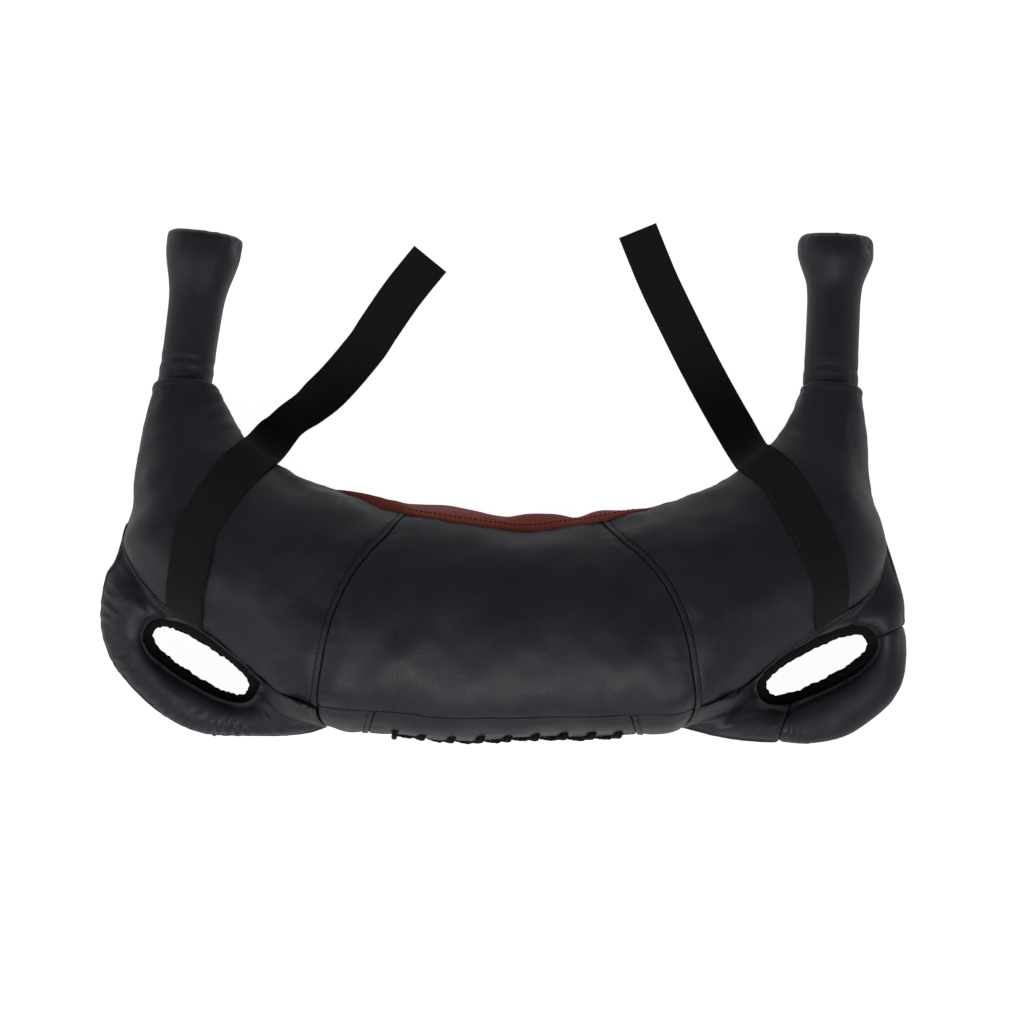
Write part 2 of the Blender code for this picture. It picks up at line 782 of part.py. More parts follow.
def fill_depth(station, degrees):
    """Depth of the sand bags' faces: below the panels, and below the tongue at the slit."""
    depth = PANEL_WALL + FILL_CLEARANCE
    degrees = (degrees + 180) % 360 - 180
    slit = tongue_depth() + TONGUE_WALL + FILL_CLEARANCE / 2
    reach = edge_degrees(station, TONGUE_HALF_WIDTH)
    reach_along = STRIP_CROSS_STATION_SHARE - ARC_SEAM_STATION_SHARE
    along = smooth_step((from_mouth(station) - ARC_SEAM_STATION_SHARE) / reach_along)
    around = 1 - smooth_step((abs(degrees) - reach) / reach)
    depth = mix(depth, slit, along * around)
    corner = smooth_step(from_mouth(station) - CORNER_SEAM_STATION_SHARE + 1) * (1 - along)
    low = 1 - smooth_step((abs(degrees) - SETBACK_DEGREES) / SETBACK_FADE_DEGREES)
    return depth + CORNER_FILL_SETBACK * corner * low


def sand_bag(first, last, steps):
    rings = []
    for step in range(steps + 1):
        station = mix(first, last, step / steps)
        ring = []
        for side in range(RING_SIDES):
            degrees = 360 * side / RING_SIDES
            ring.append(body_point(station, degrees, fill_depth(station, degrees)))
        rings.append(ring)
    return ring_solid(rings)


def grip_frame(side):
    """Frame of a grip: Z along it from the root, X the hinge line across it."""
    inner, outer, _, middle = section(on_side(side, 0))
    lean = math.radians(GRIP_LEAN_DEGREES[side])
    droop = math.radians(GRIP_DROOP_DEGREES)
    forward = Vector((math.sin(lean) * math.cos(droop), math.cos(lean) * math.cos(droop), -math.sin(droop)))
    across = forward.cross(Vector((0, 0, 1))).normalized()
    upright = forward.cross(across)
    place = (inner + outer) / 2
    place.z = middle
    place += forward * GRIP_HINGE_OFFSET
    frame = Matrix((across, upright, forward)).transposed().to_4x4()
    frame.translation = place
    return frame


def grip_outline(depth=0.0):
    """Radius and height rows of the grip's surface at a depth, counted from the hinge."""
    rows = []
    for distance, flare in GRIP_PROFILE_SHARES:
        radius = GRIP_RADIUS + flare * (GRIP_FLARE_RADIUS - GRIP_RADIUS) - depth
        rows.append((radius, distance * GRIP_LENGTH - GRIP_HINGE_OFFSET))
    return rows


def grip_sleeve(frame):
    """Leather tube of a grip. Its root is cut upright, like the mouth that it is sewn to."""
    slant = math.tan(math.radians(GRIP_DROOP_DEGREES))
    slant_reach = GRIP_LENGTH / 4

    def rings(depth):
        grid = []
        for radius, height in grip_outline(depth):
            fade = slant * (1 - smooth_step((height + GRIP_HINGE_OFFSET) / slant_reach))
            row = []
            for side in range(GRIP_SIDES):
                angle = math.tau * side / GRIP_SIDES
                down = radius * math.sin(angle)
                row.append(Vector((radius * math.cos(angle), down, height + fade * down)))
            grid.append(row)
        return trimmed(grid, bottom=SEAM_GAP)

    outer, inner = rings(0.0), rings(GRIP_WALL)
    body = sheet_solid(outer, inner, closed=True)
    body.transform(frame)
    return body


def grip_end_cap(frame):
    top = grip_outline()[-1][1]
    radius = grip_outline(GRIP_WALL)[-1][0] - SEAM_GAP
    profile = [(0.0, top + GRIP_CAP_DOME)]
    for share in (0.35, 0.65, 0.88, 1.0):
        profile.append((radius * share, top + GRIP_CAP_DOME * (1 - share * share)))
    for share in (1.0, 0.6):
        profile.append((radius * share, top - GRIP_CAP_WALL + GRIP_CAP_DOME * (1 - share * share)))
    profile.append((0.0, top - GRIP_CAP_WALL + GRIP_CAP_DOME))
    return turned_solid(profile, GRIP_SIDES, frame)


def grip_core(frame):
    """Firm core: a ball root seated in the horn's filling, a neck and the grip's own outline."""
    profile = [(0.0, -GRIP_ROOT_RADIUS)]
    for degrees in (-65, -40, -15, 5, 25):
        angle = math.radians(degrees)
        profile.append((GRIP_ROOT_RADIUS * math.cos(angle), GRIP_ROOT_RADIUS * math.sin(angle)))
    end = grip_outline()[-1][1] - GRIP_CAP_WALL - GRIP_CORE_CLEARANCE
    for radius, height in grip_outline(GRIP_WALL + GRIP_CORE_CLEARANCE):
        if GRIP_SHOULDER <= height < end:
            profile.append((radius, height))
    profile.append((grip_outline(GRIP_WALL + GRIP_CORE_CLEARANCE)[-1][0], end))
    profile.append((0.0, end))
    return turned_solid(profile, GRIP_SIDES - 2, frame)


def root_cutter(frame):
    """Round seat of a grip's root in the horn's filling."""
    body = bmesh.new()
    radius = GRIP_ROOT_RADIUS + GRIP_ROOT_CLEARANCE
    bmesh.ops.create_uvsphere(body, u_segments=GRIP_SIDES, v_segments=10, radius=radius, matrix=frame)
    return body


def hole_frame(side):
    x_share, y_share = HOLE_CENTRE_SHARES[side]
    centre = Vector((x_share * BAG_HALF_WIDTH, y_share * BAG_HEIGHT, 0))
    return centre, math.radians(HOLE_TILT_DEGREES[side])


def rim_point(side, angle, grow, rise):
    """Point of the hand hole's rim, grown outward in plan and raised from the rim's middle."""
    centre, tilt = hole_frame(side)
    along = (HOLE_HALF_LENGTH + grow) * rounded(math.cos(angle), HOLE_POWER)
    across = (HOLE_HALF_WIDTH + grow) * rounded(math.sin(angle), HOLE_POWER)
    point = centre + Vector((
        along * math.cos(tilt) - across * math.sin(tilt),
        along * math.sin(tilt) + across * math.cos(tilt),
        0,
    ))
    point.z = RIM_HEIGHT + RIM_TILT_RISE * across / HOLE_HALF_WIDTH + rise
    return point


def silhouette_point(side, row):
    """Point of the corner's silhouette at a row of its table, from the strip to the shoulder."""
    start = body_point(on_side(side, ARC_SEAM_STATION_SHARE + STRIP_END_SHIFT_SHARE), 0)
    end = body_point(on_side(side, CORNER_SEAM_STATION_SHARE), 0)
    rows = [tuple(start)[:2]]
    rows += [(x_share * BAG_HALF_WIDTH, y_share * BAG_HEIGHT) for x_share, y_share in SILHOUETTE_SHARES[side]]
    rows.append(tuple(end)[:2])
    x_place, y_place = spline_row(rows, row)
    share = row / (len(rows) - 1)
    height = LOOP_HEIGHT
    height += (start.z - LOOP_HEIGHT) * (1 - smooth_step(share / 0.4))
    height += (end.z - LOOP_HEIGHT) * smooth_step((share - 0.6) / 0.4)
    return Vector((x_place, y_place, height))


def corner_stations(side):
    """Places round a corner piece: on the side panel's columns, the strip's end and the silhouette."""
    places = []
    for column in range(SIDE_COLUMNS):
        station = ARC_SEAM_STATION_SHARE * column / SIDE_COLUMNS
        if station >= CORNER_SEAM_STATION_SHARE:
            places.append(("seam", station))
    for step in range(CORNER_STRIP_STEPS):
        places.append(("strip", step / CORNER_STRIP_STEPS))
    rows = len(SILHOUETTE_SHARES[side]) + 1
    for row in range(rows):
        places.append(("silhouette", row))
    return places


def corner_edge(side, leaf, place, depth):
    """Outer edge point of a corner leaf."""
    kind, value = place
    if kind == "seam":
        station = on_side(side, value)
        return body_point(station, leaf * corner_seam_degrees(station), depth)
    if kind == "strip":
        station = on_side(side, ARC_SEAM_STATION_SHARE + STRIP_END_SHIFT_SHARE * value)
        low = strip_seam_degrees(on_side(side, ARC_SEAM_STATION_SHARE))
        return body_point(station, leaf * low * (1 - value), depth)
    point = silhouette_point(side, value)
    centre = hole_frame(side)[0]
    inward = Vector((centre.x - point.x, centre.y - point.y, 0)).normalized()
    return point + inward * depth


def smoothed(values, passes):
    """Values round a closed row, each drawn to the mean of its neighbours."""
    for _ in range(passes):
        count = len(values)
        values = [
            (values[index - 1] + 2 * values[index] + values[(index + 1) % count]) / 4
            for index in range(count)
        ]
    return values


def corner_layout(side):
    """Places round a corner with the rim angle that each follows and how much each is body side."""
    places = corner_stations(side)
    centre, tilt = hole_frame(side)
    angles = []
    for place in places:
        offset = corner_edge(side, 1, place, 0.0) - centre
        along = offset.x * math.cos(tilt) + offset.y * math.sin(tilt)
        across = -offset.x * math.sin(tilt) + offset.y * math.cos(tilt)
        angle = math.atan2(across, along * HOLE_FOLLOW_SHARE)
        if angles:
            turns = round((angles[-1] - angle) / math.tau)
            angle += turns * math.tau
        angles.append(angle)
    turn = math.copysign(math.tau, angles[-1] - angles[0])
    count = len(angles)
    even = [angles[0] + turn * index / count for index in range(count)]
    drift = smoothed([angle - base for angle, base in zip(angles, even)], 3)
    angles = [base + extra for base, extra in zip(even, drift)]
    body_share = {"seam": 1.0, "strip": 0.5, "silhouette": 0.0}
    weights = [body_share[kind] for kind, value in places]
    return places, angles, smoothed(weights, 2)


def leaf_column(side, leaf, place, angle, weight, depth):
    """Points of a corner leaf from the hole's rim out to its edge."""
    rim = rim_point(side, angle, depth, leaf * TAPE_RISE)
    edge = corner_edge(side, leaf, place, depth)
    limit = math.radians(180 - 90 * weight)
    body_bulge = max(leaf * (edge.z - rim.z), LEAST_STRIP_BULGE)
    bulge = mix(LOOP_BULGE, body_bulge, weight) - depth
    column = []
    for row in range(LEAF_ROWS + 1):
        turn = limit * row / LEAF_ROWS
        share = (1 - math.cos(turn)) / (1 - math.cos(limit))
        point = rim.lerp(edge, share)
        point.z += leaf * bulge * (math.sin(turn) - math.sin(limit) * share)
        column.append(point)
    return column


def leaf_grid(side, leaf, columns, depth):
    """Point grid of a corner leaf, one row per distance from the rim."""
    columns = [leaf_column(side, leaf, *column, depth) for column in columns]
    return [[column[row] for column in columns] for row in range(LEAF_ROWS + 1)]


def corner_leaf(side, leaf):
    """Whole front or back leaf round a hand hole."""
    layout = list(zip(*corner_layout(side)))
    half = SEAM_GAP / 2
    outer = trimmed_ring(leaf_grid(side, leaf, layout, 0.0), half)
    inner = trimmed_ring(leaf_grid(side, leaf, layout, PANEL_WALL), half)
    return sheet_solid(outer, inner, closed=True)


def trimmed_ring(grid, gap):
    """Grid of a closed leaf whose outer edge is drawn in."""
    result = [list(row) for row in grid]
    result[-1] = [toward(point, before, gap) for point, before in zip(grid[-1], grid[-2])]
    return result


def corner_leaf_part(side, leaf, loop):
    """Hand loop's leaf, or the rest of the corner's leaf, between the two loop seams."""
    layout = list(zip(*corner_layout(side)))
    rows = [index for index, column in enumerate(layout) if column[0][0] == "silhouette"]
    first, last = (rows[row] for row in LOOP_SEAM_ROWS)
    count = len(layout)
    if loop:
        columns = [layout[index] for index in range(first, last + 1)]
    else:
        columns = [layout[index % count] for index in range(last, first + count + 1)]
    half = SEAM_GAP / 2
    trims = dict(top=half, left=half, right=half)
    outer = trimmed(leaf_grid(side, leaf, columns, 0.0), **trims)
    inner = trimmed(leaf_grid(side, leaf, columns, PANEL_WALL), **trims)
    return sheet_solid(outer, inner)


def hole_binding(side):
    """Ribbed tape that lines the hand hole from the front leaf to the back leaf."""
    rings = []
    for _, angle, _ in zip(*corner_layout(side)):
        heights = [step / 2 for step in range(-2, 3)]
        reach = TAPE_RISE - SEAM_GAP
        ring = [rim_point(side, angle, -TAPE_BAND * (1 - share * share), reach * share) for share in heights]
        ring += [
            rim_point(side, angle, TAPE_WALL - TAPE_BAND * (1 - share * share), reach * share)
            for share in reversed(heights)
        ]
        rings.append(ring)
    return closed_ring_solid(rings)


def loop_core(side):
    """Padding of a hand loop: a bent roll between the two leaves."""
    layout = list(zip(*corner_layout(side)))
    columns = [column for column in layout if column[0][0] == "silhouette"]
    columns = columns[CORE_ROWS[0]:CORE_ROWS[1] + 1]
    depth = PANEL_WALL + CORE_CLEARANCE
    rings = []
    for column in columns:
        front = leaf_column(side, 1, *column, depth)
        back = leaf_column(side, -1, *column, depth)
        inset = TAPE_WALL + CORE_CLEARANCE - PANEL_WALL
        front[0] = toward(front[0], front[-1], max(inset, 0.0))
        back[0] = toward(back[0], back[-1], max(inset, 0.0))
        rings.append(front + list(reversed(back[:-1])))
    return ring_solid(rings)


def strap_place(side, share, offset):
    """Station and angle of a strap point: share of its route, offset across it."""
    route = [(on_side(side, station), degrees) for station, degrees in STRAP_ROUTE_DEGREES[side]]
    position = share * (len(route) - 1)
    station, degrees = spline_row(route, position)
    ahead = body_point(*spline_row(route, min(position + STEP_ALONG_SHARE, len(route) - 1)))
    behind = body_point(*spline_row(route, max(position - STEP_ALONG_SHARE, 0)))
    across = body_normal(station, degrees).cross(ahead - behind).normalized()
    parts = 4
    for _ in range(parts):
        here = body_point(station, degrees)
        per_station = (body_point(station + STEP_ALONG_SHARE, degrees) - here) / STEP_ALONG_SHARE
        per_degree = (body_point(station, degrees + STEP_ROUND_DEGREES) - here) / STEP_ROUND_DEGREES
        wanted = across * offset / parts
        a, b, c = per_station.dot(per_station), per_station.dot(per_degree), per_degree.dot(per_degree)
        d, e = wanted.dot(per_station), wanted.dot(per_degree)
        scale = a * c - b * b
        station += (d * c - e * b) / scale
        degrees += (e * a - d * b) / scale
    return station, degrees


def seam_crossing(side, offset):
    """Share of the strap's route at which it meets the corner seam."""
    low, high = 0.0, 0.5
    for _ in range(20):
        middle = (low + high) / 2
        station, degrees = strap_place(side, middle, offset)
        if degrees > corner_seam_degrees(station):
            high = middle
        else:
            low = middle
    return high


def strap_on_body(side):
    """Strap sewn to the front from the corner seam to the inner edge."""
    grid = []
    columns = []
    for column in range(STRAP_COLUMNS + 1):
        offset = mix(-WEBBING_WIDTH / 2, WEBBING_WIDTH / 2, column / STRAP_COLUMNS)
        columns.append((offset, seam_crossing(side, offset)))
    for row in range(STRAP_ROWS):
        line = []
        for offset, start in columns:
            line.append(strap_place(side, mix(start, 1.0, row / STRAP_ROWS), offset))
        grid.append(line)
    grid.append(strap_end(side))
    under, over = -WEBBING_GAP, -WEBBING_GAP - WEBBING_THICKNESS
    return skin(grid, over, under, dict(bottom=SEAM_GAP, top=TAIL_HINGE_GAP))


def strap_end(side):
    """Places of the sewn strap's end, all at one height on the bag's inner edge."""
    stations = []
    for column in range(STRAP_COLUMNS + 1):
        offset = mix(-WEBBING_WIDTH / 2, WEBBING_WIDTH / 2, column / STRAP_COLUMNS)
        stations.append(strap_place(side, 1.0, offset)[0])
    height = max(section(station)[3] for station in stations)
    return [(station, 180 - edge_degrees(station, height - section(station)[3])) for station in stations]


def tail_start(side, lift):
    """Middle and horizontal line of a free strap tail's start, at a lift above the bag's inner edge."""
    places = strap_end(side)
    ends = [body_point(station, degrees, -lift) for station, degrees in (places[0], places[-1])]
    centre = (ends[0] + ends[1]) / 2
    line = ends[1] - ends[0]
    line.z = 0
    return centre, line.normalized()


def tail_frame(side):
    """Frame at the tail's fold, on the webbing's outer face: X along the fold, Z up."""
    centre, line = tail_start(side, WEBBING_GAP + WEBBING_THICKNESS)
    up = Vector((0, 0, 1))
    frame = Matrix((line, up.cross(line), up)).transposed().to_4x4()
    frame.translation = centre
    return frame


def strap_tail(side):
    """Free tail: down the bag's edge to the ground, then flat along its route."""
    centre, line = tail_start(side, WEBBING_GAP + WEBBING_THICKNESS / 2)
    route = [centre.xy + Vector(row) * TAIL_LENGTH for row in TAIL_ROUTE_SHARES[side]]
    drop = centre.z - TAIL_FLOOR_CLEARANCE - WEBBING_THICKNESS / 2
    points = []
    for row in range(TAIL_DROP_ROWS):
        turn = math.radians(90 * row / TAIL_DROP_ROWS)
        points.append((TAIL_DROP_RUN * (1 - math.cos(turn)), drop * (1 - math.sin(turn))))
    for row in range(TAIL_ROWS + 1):
        points.append((mix(TAIL_DROP_RUN, TAIL_LENGTH, row / TAIL_ROWS), 0.0))
    lengths = [0.0]
    fine = smooth_route(route, TAIL_ROUTE_STEPS // (len(route) - 1))
    for first, second in zip(fine, fine[1:]):
        lengths.append(lengths[-1] + (second - first).length)

    def plan(distance):
        place = max(number for number, length in enumerate(lengths[:-1]) if length <= max(distance, 0))
        share = (distance - lengths[place]) / (lengths[place + 1] - lengths[place])
        return fine[place].lerp(fine[place + 1], share), (fine[place + 1] - fine[place]).normalized()

    floor = TAIL_FLOOR_CLEARANCE + WEBBING_THICKNESS / 2
    centres, acrosses = [], []
    for distance, height in points:
        spot, heading = plan(distance)
        centres.append(Vector((spot.x, spot.y, floor + height)))
        square = Vector((heading.y, -heading.x, 0))
        if square.dot(line) < 0:
            square = -square
        acrosses.append(line.lerp(square, smooth_step(distance / (2 * TAIL_DROP_RUN))).normalized())
    rings = []
    for index, (point, across) in enumerate(zip(centres, acrosses)):
        ahead = centres[min(index + 1, len(centres) - 1)] - centres[max(index - 1, 0)]
        normal = across.cross(ahead).normalized() * WEBBING_THICKNESS / 2
        if index == 0:
            normal = across.cross(Vector((0, 0, 1))).normalized() * WEBBING_THICKNESS / 2
            if normal.dot(across.cross(ahead)) < 0:
                normal = -normal
        wide = across * WEBBING_WIDTH / 2
        corners = (-wide - normal, wide - normal, wide + normal, normal - wide)
        rings.append([point + corner for corner in corners])
    return ring_solid(rings)


def main():
    clear_scene()
    leather = make_material("black_pu_leather", (0.022, 0.022, 0.028), 0.42)
    pad_leather = make_material("brown_pu_leather", (0.16, 0.035, 0.025), 0.5)
    webbing = make_material("black_webbing", (0.010, 0.010, 0.010), 0.85)
    tape = make_material("black_ribbed_tape", (0.008, 0.008, 0.008), 0.8)
    sacking = make_material("sand_bag_cloth", (0.35, 0.33, 0.28), 0.9)
    foam = make_material("padding_foam", (0.5, 0.48, 0.42), 0.95)
    rubber = make_material("grip_core_rubber", (0.03, 0.03, 0.03), 0.7)

    for leaf_name, leaf in LEAF_SIGN_SHARES.items():
        add_object(f"{leaf_name}_centre_panel", centre_panel(leaf), leather)
        for side in SIDES:
            add_object(f"{leaf_name}_{side}_panel", side_panel(side, leaf), leather)
        add_object(f"left_corner_{leaf_name}", corner_leaf("left", leaf), leather)
        add_object(f"right_corner_{leaf_name}", corner_leaf_part("right", leaf, False), leather)
        add_object(f"right_loop_{leaf_name}", corner_leaf_part("right", leaf, True), leather)
        lip = add_object(f"lacing_lip_{leaf_name}", lacing_lip(leaf), leather)
        cut(lip, add_cutter(f"lace_hole_cutter_{leaf_name}", lace_hole_cutter(leaf)))

    add_object("neck_pad_cover", neck_pad_cover(), pad_leather)
    add_object("neck_pad_foam", neck_pad_foam(), foam)
    add_object("lacing_tongue", lacing_tongue(), leather)
    add_object("lacing_cord", lacing_cord(), webbing)

    split = [on_side(side, ARC_SEAM_STATION_SHARE) for side in SIDES]
    reach = body_point(split[0] + STEP_ALONG_SHARE, 90) - body_point(split[0], 90)
    half_gap = BAG_TO_BAG_GAP / 2 * STEP_ALONG_SHARE / reach.length
    filling = sand_bag(split[0] + half_gap, split[1] - half_gap, CENTRE_BAG_STEPS)
    add_object("centre_sand_bag", filling, sacking)
    for side in SIDES:
        inner_end = ARC_SEAM_STATION_SHARE - half_gap
        bag = sand_bag(on_side(side, FILL_START_STATION_SHARE), on_side(side, inner_end), SIDE_COLUMNS)
        bag = add_object(f"{side}_sand_bag", bag, sacking)
        frame = grip_frame(side)
        cut(bag, add_cutter(f"{side}_root_cutter", root_cutter(frame)))
        add_object(f"bottom_strip_{side}", strip_section(side), leather)
        add_object(f"{side}_hole_binding", hole_binding(side), tape)
        add_object(f"{side}_loop_core", loop_core(side), foam)
        add_object(f"{side}_grip_sleeve", grip_sleeve(frame), leather, frame)
        add_object(f"{side}_grip_core", grip_core(frame), rubber, frame)
        add_object(f"{side}_grip_end_cap", grip_end_cap(frame), leather, frame)
        add_object(f"{side}_strap", strap_on_body(side), webbing)
        add_object(f"{side}_strap_tail", strap_tail(side), webbing, tail_frame(side))


main()
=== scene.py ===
# %% [markdown]
# # A sand-filled training bag in black coated leather
# The bag lies on its back and is seen from straight above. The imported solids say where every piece
# is. This notebook dresses them: it loads the solids, sets up the studio, makes the finishes and then
# sews each cover piece as its own fine mesh, with its seams, stitches, folds and grain.

# %% Load the solids
import math

import bmesh
import bpy
import numpy as np
from mathutils import Matrix, Vector


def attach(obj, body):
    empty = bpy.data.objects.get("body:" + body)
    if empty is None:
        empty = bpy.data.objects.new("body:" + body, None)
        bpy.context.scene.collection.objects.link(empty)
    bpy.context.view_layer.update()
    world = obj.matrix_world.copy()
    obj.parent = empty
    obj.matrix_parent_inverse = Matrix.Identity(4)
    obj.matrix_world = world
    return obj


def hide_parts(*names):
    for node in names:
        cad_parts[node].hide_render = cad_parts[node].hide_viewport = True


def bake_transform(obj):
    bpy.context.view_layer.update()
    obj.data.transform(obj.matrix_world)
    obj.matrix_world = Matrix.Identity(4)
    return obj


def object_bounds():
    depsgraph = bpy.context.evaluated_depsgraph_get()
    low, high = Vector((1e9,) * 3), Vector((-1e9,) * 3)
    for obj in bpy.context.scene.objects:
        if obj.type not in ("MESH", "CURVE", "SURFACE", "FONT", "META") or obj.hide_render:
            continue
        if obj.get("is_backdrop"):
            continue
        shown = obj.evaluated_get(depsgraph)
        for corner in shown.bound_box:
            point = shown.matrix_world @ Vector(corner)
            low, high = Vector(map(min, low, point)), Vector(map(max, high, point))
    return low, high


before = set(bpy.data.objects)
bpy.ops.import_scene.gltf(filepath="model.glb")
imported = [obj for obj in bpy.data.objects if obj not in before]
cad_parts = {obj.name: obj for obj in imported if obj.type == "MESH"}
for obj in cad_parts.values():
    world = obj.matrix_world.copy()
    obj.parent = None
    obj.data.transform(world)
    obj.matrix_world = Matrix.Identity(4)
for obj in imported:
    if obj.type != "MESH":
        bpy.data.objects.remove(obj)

cad_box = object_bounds()

# %% [markdown]
# ## Camera
# The photograph was taken from straight above, so the camera looks down the Z axis with +Y at the top
# of the picture. One pixel is 0.84 mm at the bag's middle height, and a long lens far away keeps the
# thick bag from looking bent.

# %% Camera above the bag
PIXEL = 0.00084
PHOTO_SIZE = 1024
ORIGIN_PIXEL = (505, 630)
MIDDLE_HEIGHT = 0.075
CAMERA_DISTANCE = 9.0
SENSOR_WIDTH = 36


def from_photo(column, row):
    """Place on the ground plan of a pixel of the photograph, in metres."""
    return (column - ORIGIN_PIXEL[0]) * PIXEL, (ORIGIN_PIXEL[1] - row) * PIXEL


def new_object(name, data):
    """Object with the given data, put into the scene."""
    item = bpy.data.objects.new(name, data)
    bpy.context.scene.collection.objects.link(item)
    return item


camera_data = bpy.data.cameras.new("camera_above")
camera_data.sensor_width = SENSOR_WIDTH
camera_data.lens = SENSOR_WIDTH * CAMERA_DISTANCE / (PHOTO_SIZE * PIXEL)
camera = new_object("camera_above", camera_data)
camera.location = (*from_photo(PHOTO_SIZE / 2, PHOTO_SIZE / 2), MIDDLE_HEIGHT + CAMERA_DISTANCE)
bpy.context.scene.camera = camera
bpy.context.scene.view_settings.view_transform = "Standard"
print(f"lens {camera_data.lens:.1f} mm, camera at {tuple(round(v, 3) for v in camera.location)}")

# %% [markdown]
# ## A helper for shader and geometry nodes
# Node trees are easier to read when each node is one line. The first function adds a node, sets its
# properties and links or fills its inputs. A socket passed as a value is linked. The others do so for
# the kinds that come up most.

# %% Node helper and colours


def add_node(tree, kind, inputs=None, **settings):
    """Add a node to a tree. Inputs are filled by name or number, settings are node properties."""
    node = tree.nodes.new(kind)
    for name, value in settings.items():
        setattr(node, name, value)
    for key, value in (inputs or {}).items():
        if isinstance(value, bpy.types.NodeSocket):
            tree.links.new(value, node.inputs[key])
        else:
            node.inputs[key].default_value = value
    return node


def maths(tree, operation, *values):
    """Result of a maths node over sockets or numbers."""
    return add_node(tree, "ShaderNodeMath", dict(enumerate(values)), operation=operation).outputs[0]


def noise(tree, position, scale, detail, roughness=0.5):
    """Outputs of a noise texture."""
    inputs = {"Vector": position, "Scale": scale, "Detail": detail, "Roughness": roughness}
    return add_node(tree, "ShaderNodeTexNoise", inputs).outputs


def mapped(tree, value, low, high, to_low, to_high, **settings):
    """Value carried from one range over to another."""
    inputs = {"Value": value, "From Min": low, "From Max": high, "To Min": to_low, "To Max": to_high}
    return add_node(tree, "ShaderNodeMapRange", inputs, **settings).outputs[0]


def colour(hex_code):
    """Linear colour of an sRGB hex code."""
    parts = [int(hex_code[place:place + 2], 16) / 255 for place in (1, 3, 5)]
    linear = [part / 12.92 if part <= 0.04045 else ((part + 0.055) / 1.055) ** 2.4 for part in parts]
    return (*linear, 1.0)


# %% [markdown]
# ## Studio
# A pale floor and soft light are enough for a black object: what the eye reads on coated leather is
# the reflection of the lamps. A wide lamp low on the near side draws the pale band along the lower
# half, weaker ones at the sides find the rims, and the sky stays dim so that the top stays deep.

# %% Floor, lamps and sky


FLOOR_REACH, FLOOR_GLOW, FLOOR_MIRRORED, FLOOR_GREY = 6.0, 0.95, 0.45, 0.45
AIM = (0, 0.05, 0.08)
LAMPS = [
    # name, place, size, power
    ("near_lamp", (0.0, -1.75, 1.9), (2.2, 0.55), 26),
    ("far_lamp", (0.0, 2.2, 0.9), (2.4, 0.5), 2),
    ("left_lamp", (-2.1, -0.4, 1.0), (0.6, 1.6), 7),
    ("right_lamp", (2.1, -0.2, 1.0), (0.6, 1.6), 1.6),
]
SKY_COLOUR, SKY_STRENGTH = (0.84, 0.88, 1.0, 1), 0.21


def make_floor():
    """White floor that keeps the bag's shadow but shows as plain white around it."""
    material = bpy.data.materials.new("studio_floor")
    material.use_nodes = True
    tree = material.node_tree
    tree.nodes.clear()
    rays = add_node(tree, "ShaderNodeLightPath").outputs
    mirrored = maths(tree, "MULTIPLY", rays["Is Glossy Ray"], FLOOR_MIRRORED)
    seen = maths(tree, "MAXIMUM", rays["Is Camera Ray"], mirrored)
    seen = maths(tree, "MAXIMUM", seen, rays["Is Transmission Ray"])
    light = add_node(tree, "ShaderNodeEmission", {"Strength": maths(tree, "MULTIPLY", seen, FLOOR_GLOW)})
    matte = add_node(tree, "ShaderNodeBsdfDiffuse", {"Color": (FLOOR_GREY, FLOOR_GREY, FLOOR_GREY, 1)})
    both = add_node(tree, "ShaderNodeAddShader", {0: light.outputs[0], 1: matte.outputs[0]})
    add_node(tree, "ShaderNodeOutputMaterial", {"Surface": both.outputs[0]})
    mesh = bpy.data.meshes.new("studio_floor")
    square = [(-1, -1), (1, -1), (1, 1), (-1, 1)]
    mesh.from_pydata([(x * FLOOR_REACH, y * FLOOR_REACH, 0) for x, y in square], [], [(0, 1, 2, 3)])
    mesh.materials.append(material)
    new_object("studio_floor", mesh)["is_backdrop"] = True


def add_lamp(name, place, size, power):
    """Soft rectangular lamp that looks at the bag."""
    data = bpy.data.lights.new(name, "AREA")
    data.shape = "RECTANGLE"
    data.size, data.size_y = size
    data.energy = power
    lamp = new_object(name, data)
    lamp.location = place
    lamp.rotation_euler = (Vector(place) - Vector(AIM)).to_track_quat("Z", "Y").to_euler()


make_floor()
for lamp_row in LAMPS:
    add_lamp(*lamp_row)
world = bpy.data.worlds.new("dim_sky")
world.use_nodes = True
world.node_tree.nodes["Background"].inputs["Color"].default_value = SKY_COLOUR
world.node_tree.nodes["Background"].inputs["Strength"].default_value = SKY_STRENGTH
bpy.context.scene.world = world
print("studio ready:", len(LAMPS), "lamps")

# %% [markdown]
# ## Finishes
# Coated (PU) leather is a plastic skin embossed with a grain: small rounded cells about a millimetre
# across, a satin gloss, and a little variation where hands and handling have polished it. Cells come
# from a Voronoi texture at the real size, worked out in cells per metre, and feed a bump.

# %% Coated leather


def start_material(name, hex_code, roughness, specular=0.5):
    """Material with a plain shader. Returns the material, its tree, the shader and the coordinates."""
    material = bpy.data.materials.new(name)
    material.use_nodes = True
    tree = material.node_tree
    shader = tree.nodes["Principled BSDF"]
    shader.inputs["Base Color"].default_value = colour(hex_code)
    shader.inputs["Roughness"].default_value = roughness
    shader.inputs["Specular IOR Level"].default_value = specular
    return material, tree, shader, add_node(tree, "ShaderNodeTexCoord")


def finish_shader(tree, shader, height, strength, relief, share, low_hex, high_hex):
    """Bump from a height and a colour mixed by a share, linked to the shader."""
    bump = add_node(tree, "ShaderNodeBump", {"Strength": strength, "Distance": relief, "Height": height})
    tree.links.new(bump.outputs["Normal"], shader.inputs["Normal"])
    tint = add_node(tree, "ShaderNodeMixRGB", {0: share, 1: colour(low_hex), 2: colour(high_hex)})
    tree.links.new(tint.outputs[0], shader.inputs["Base Color"])


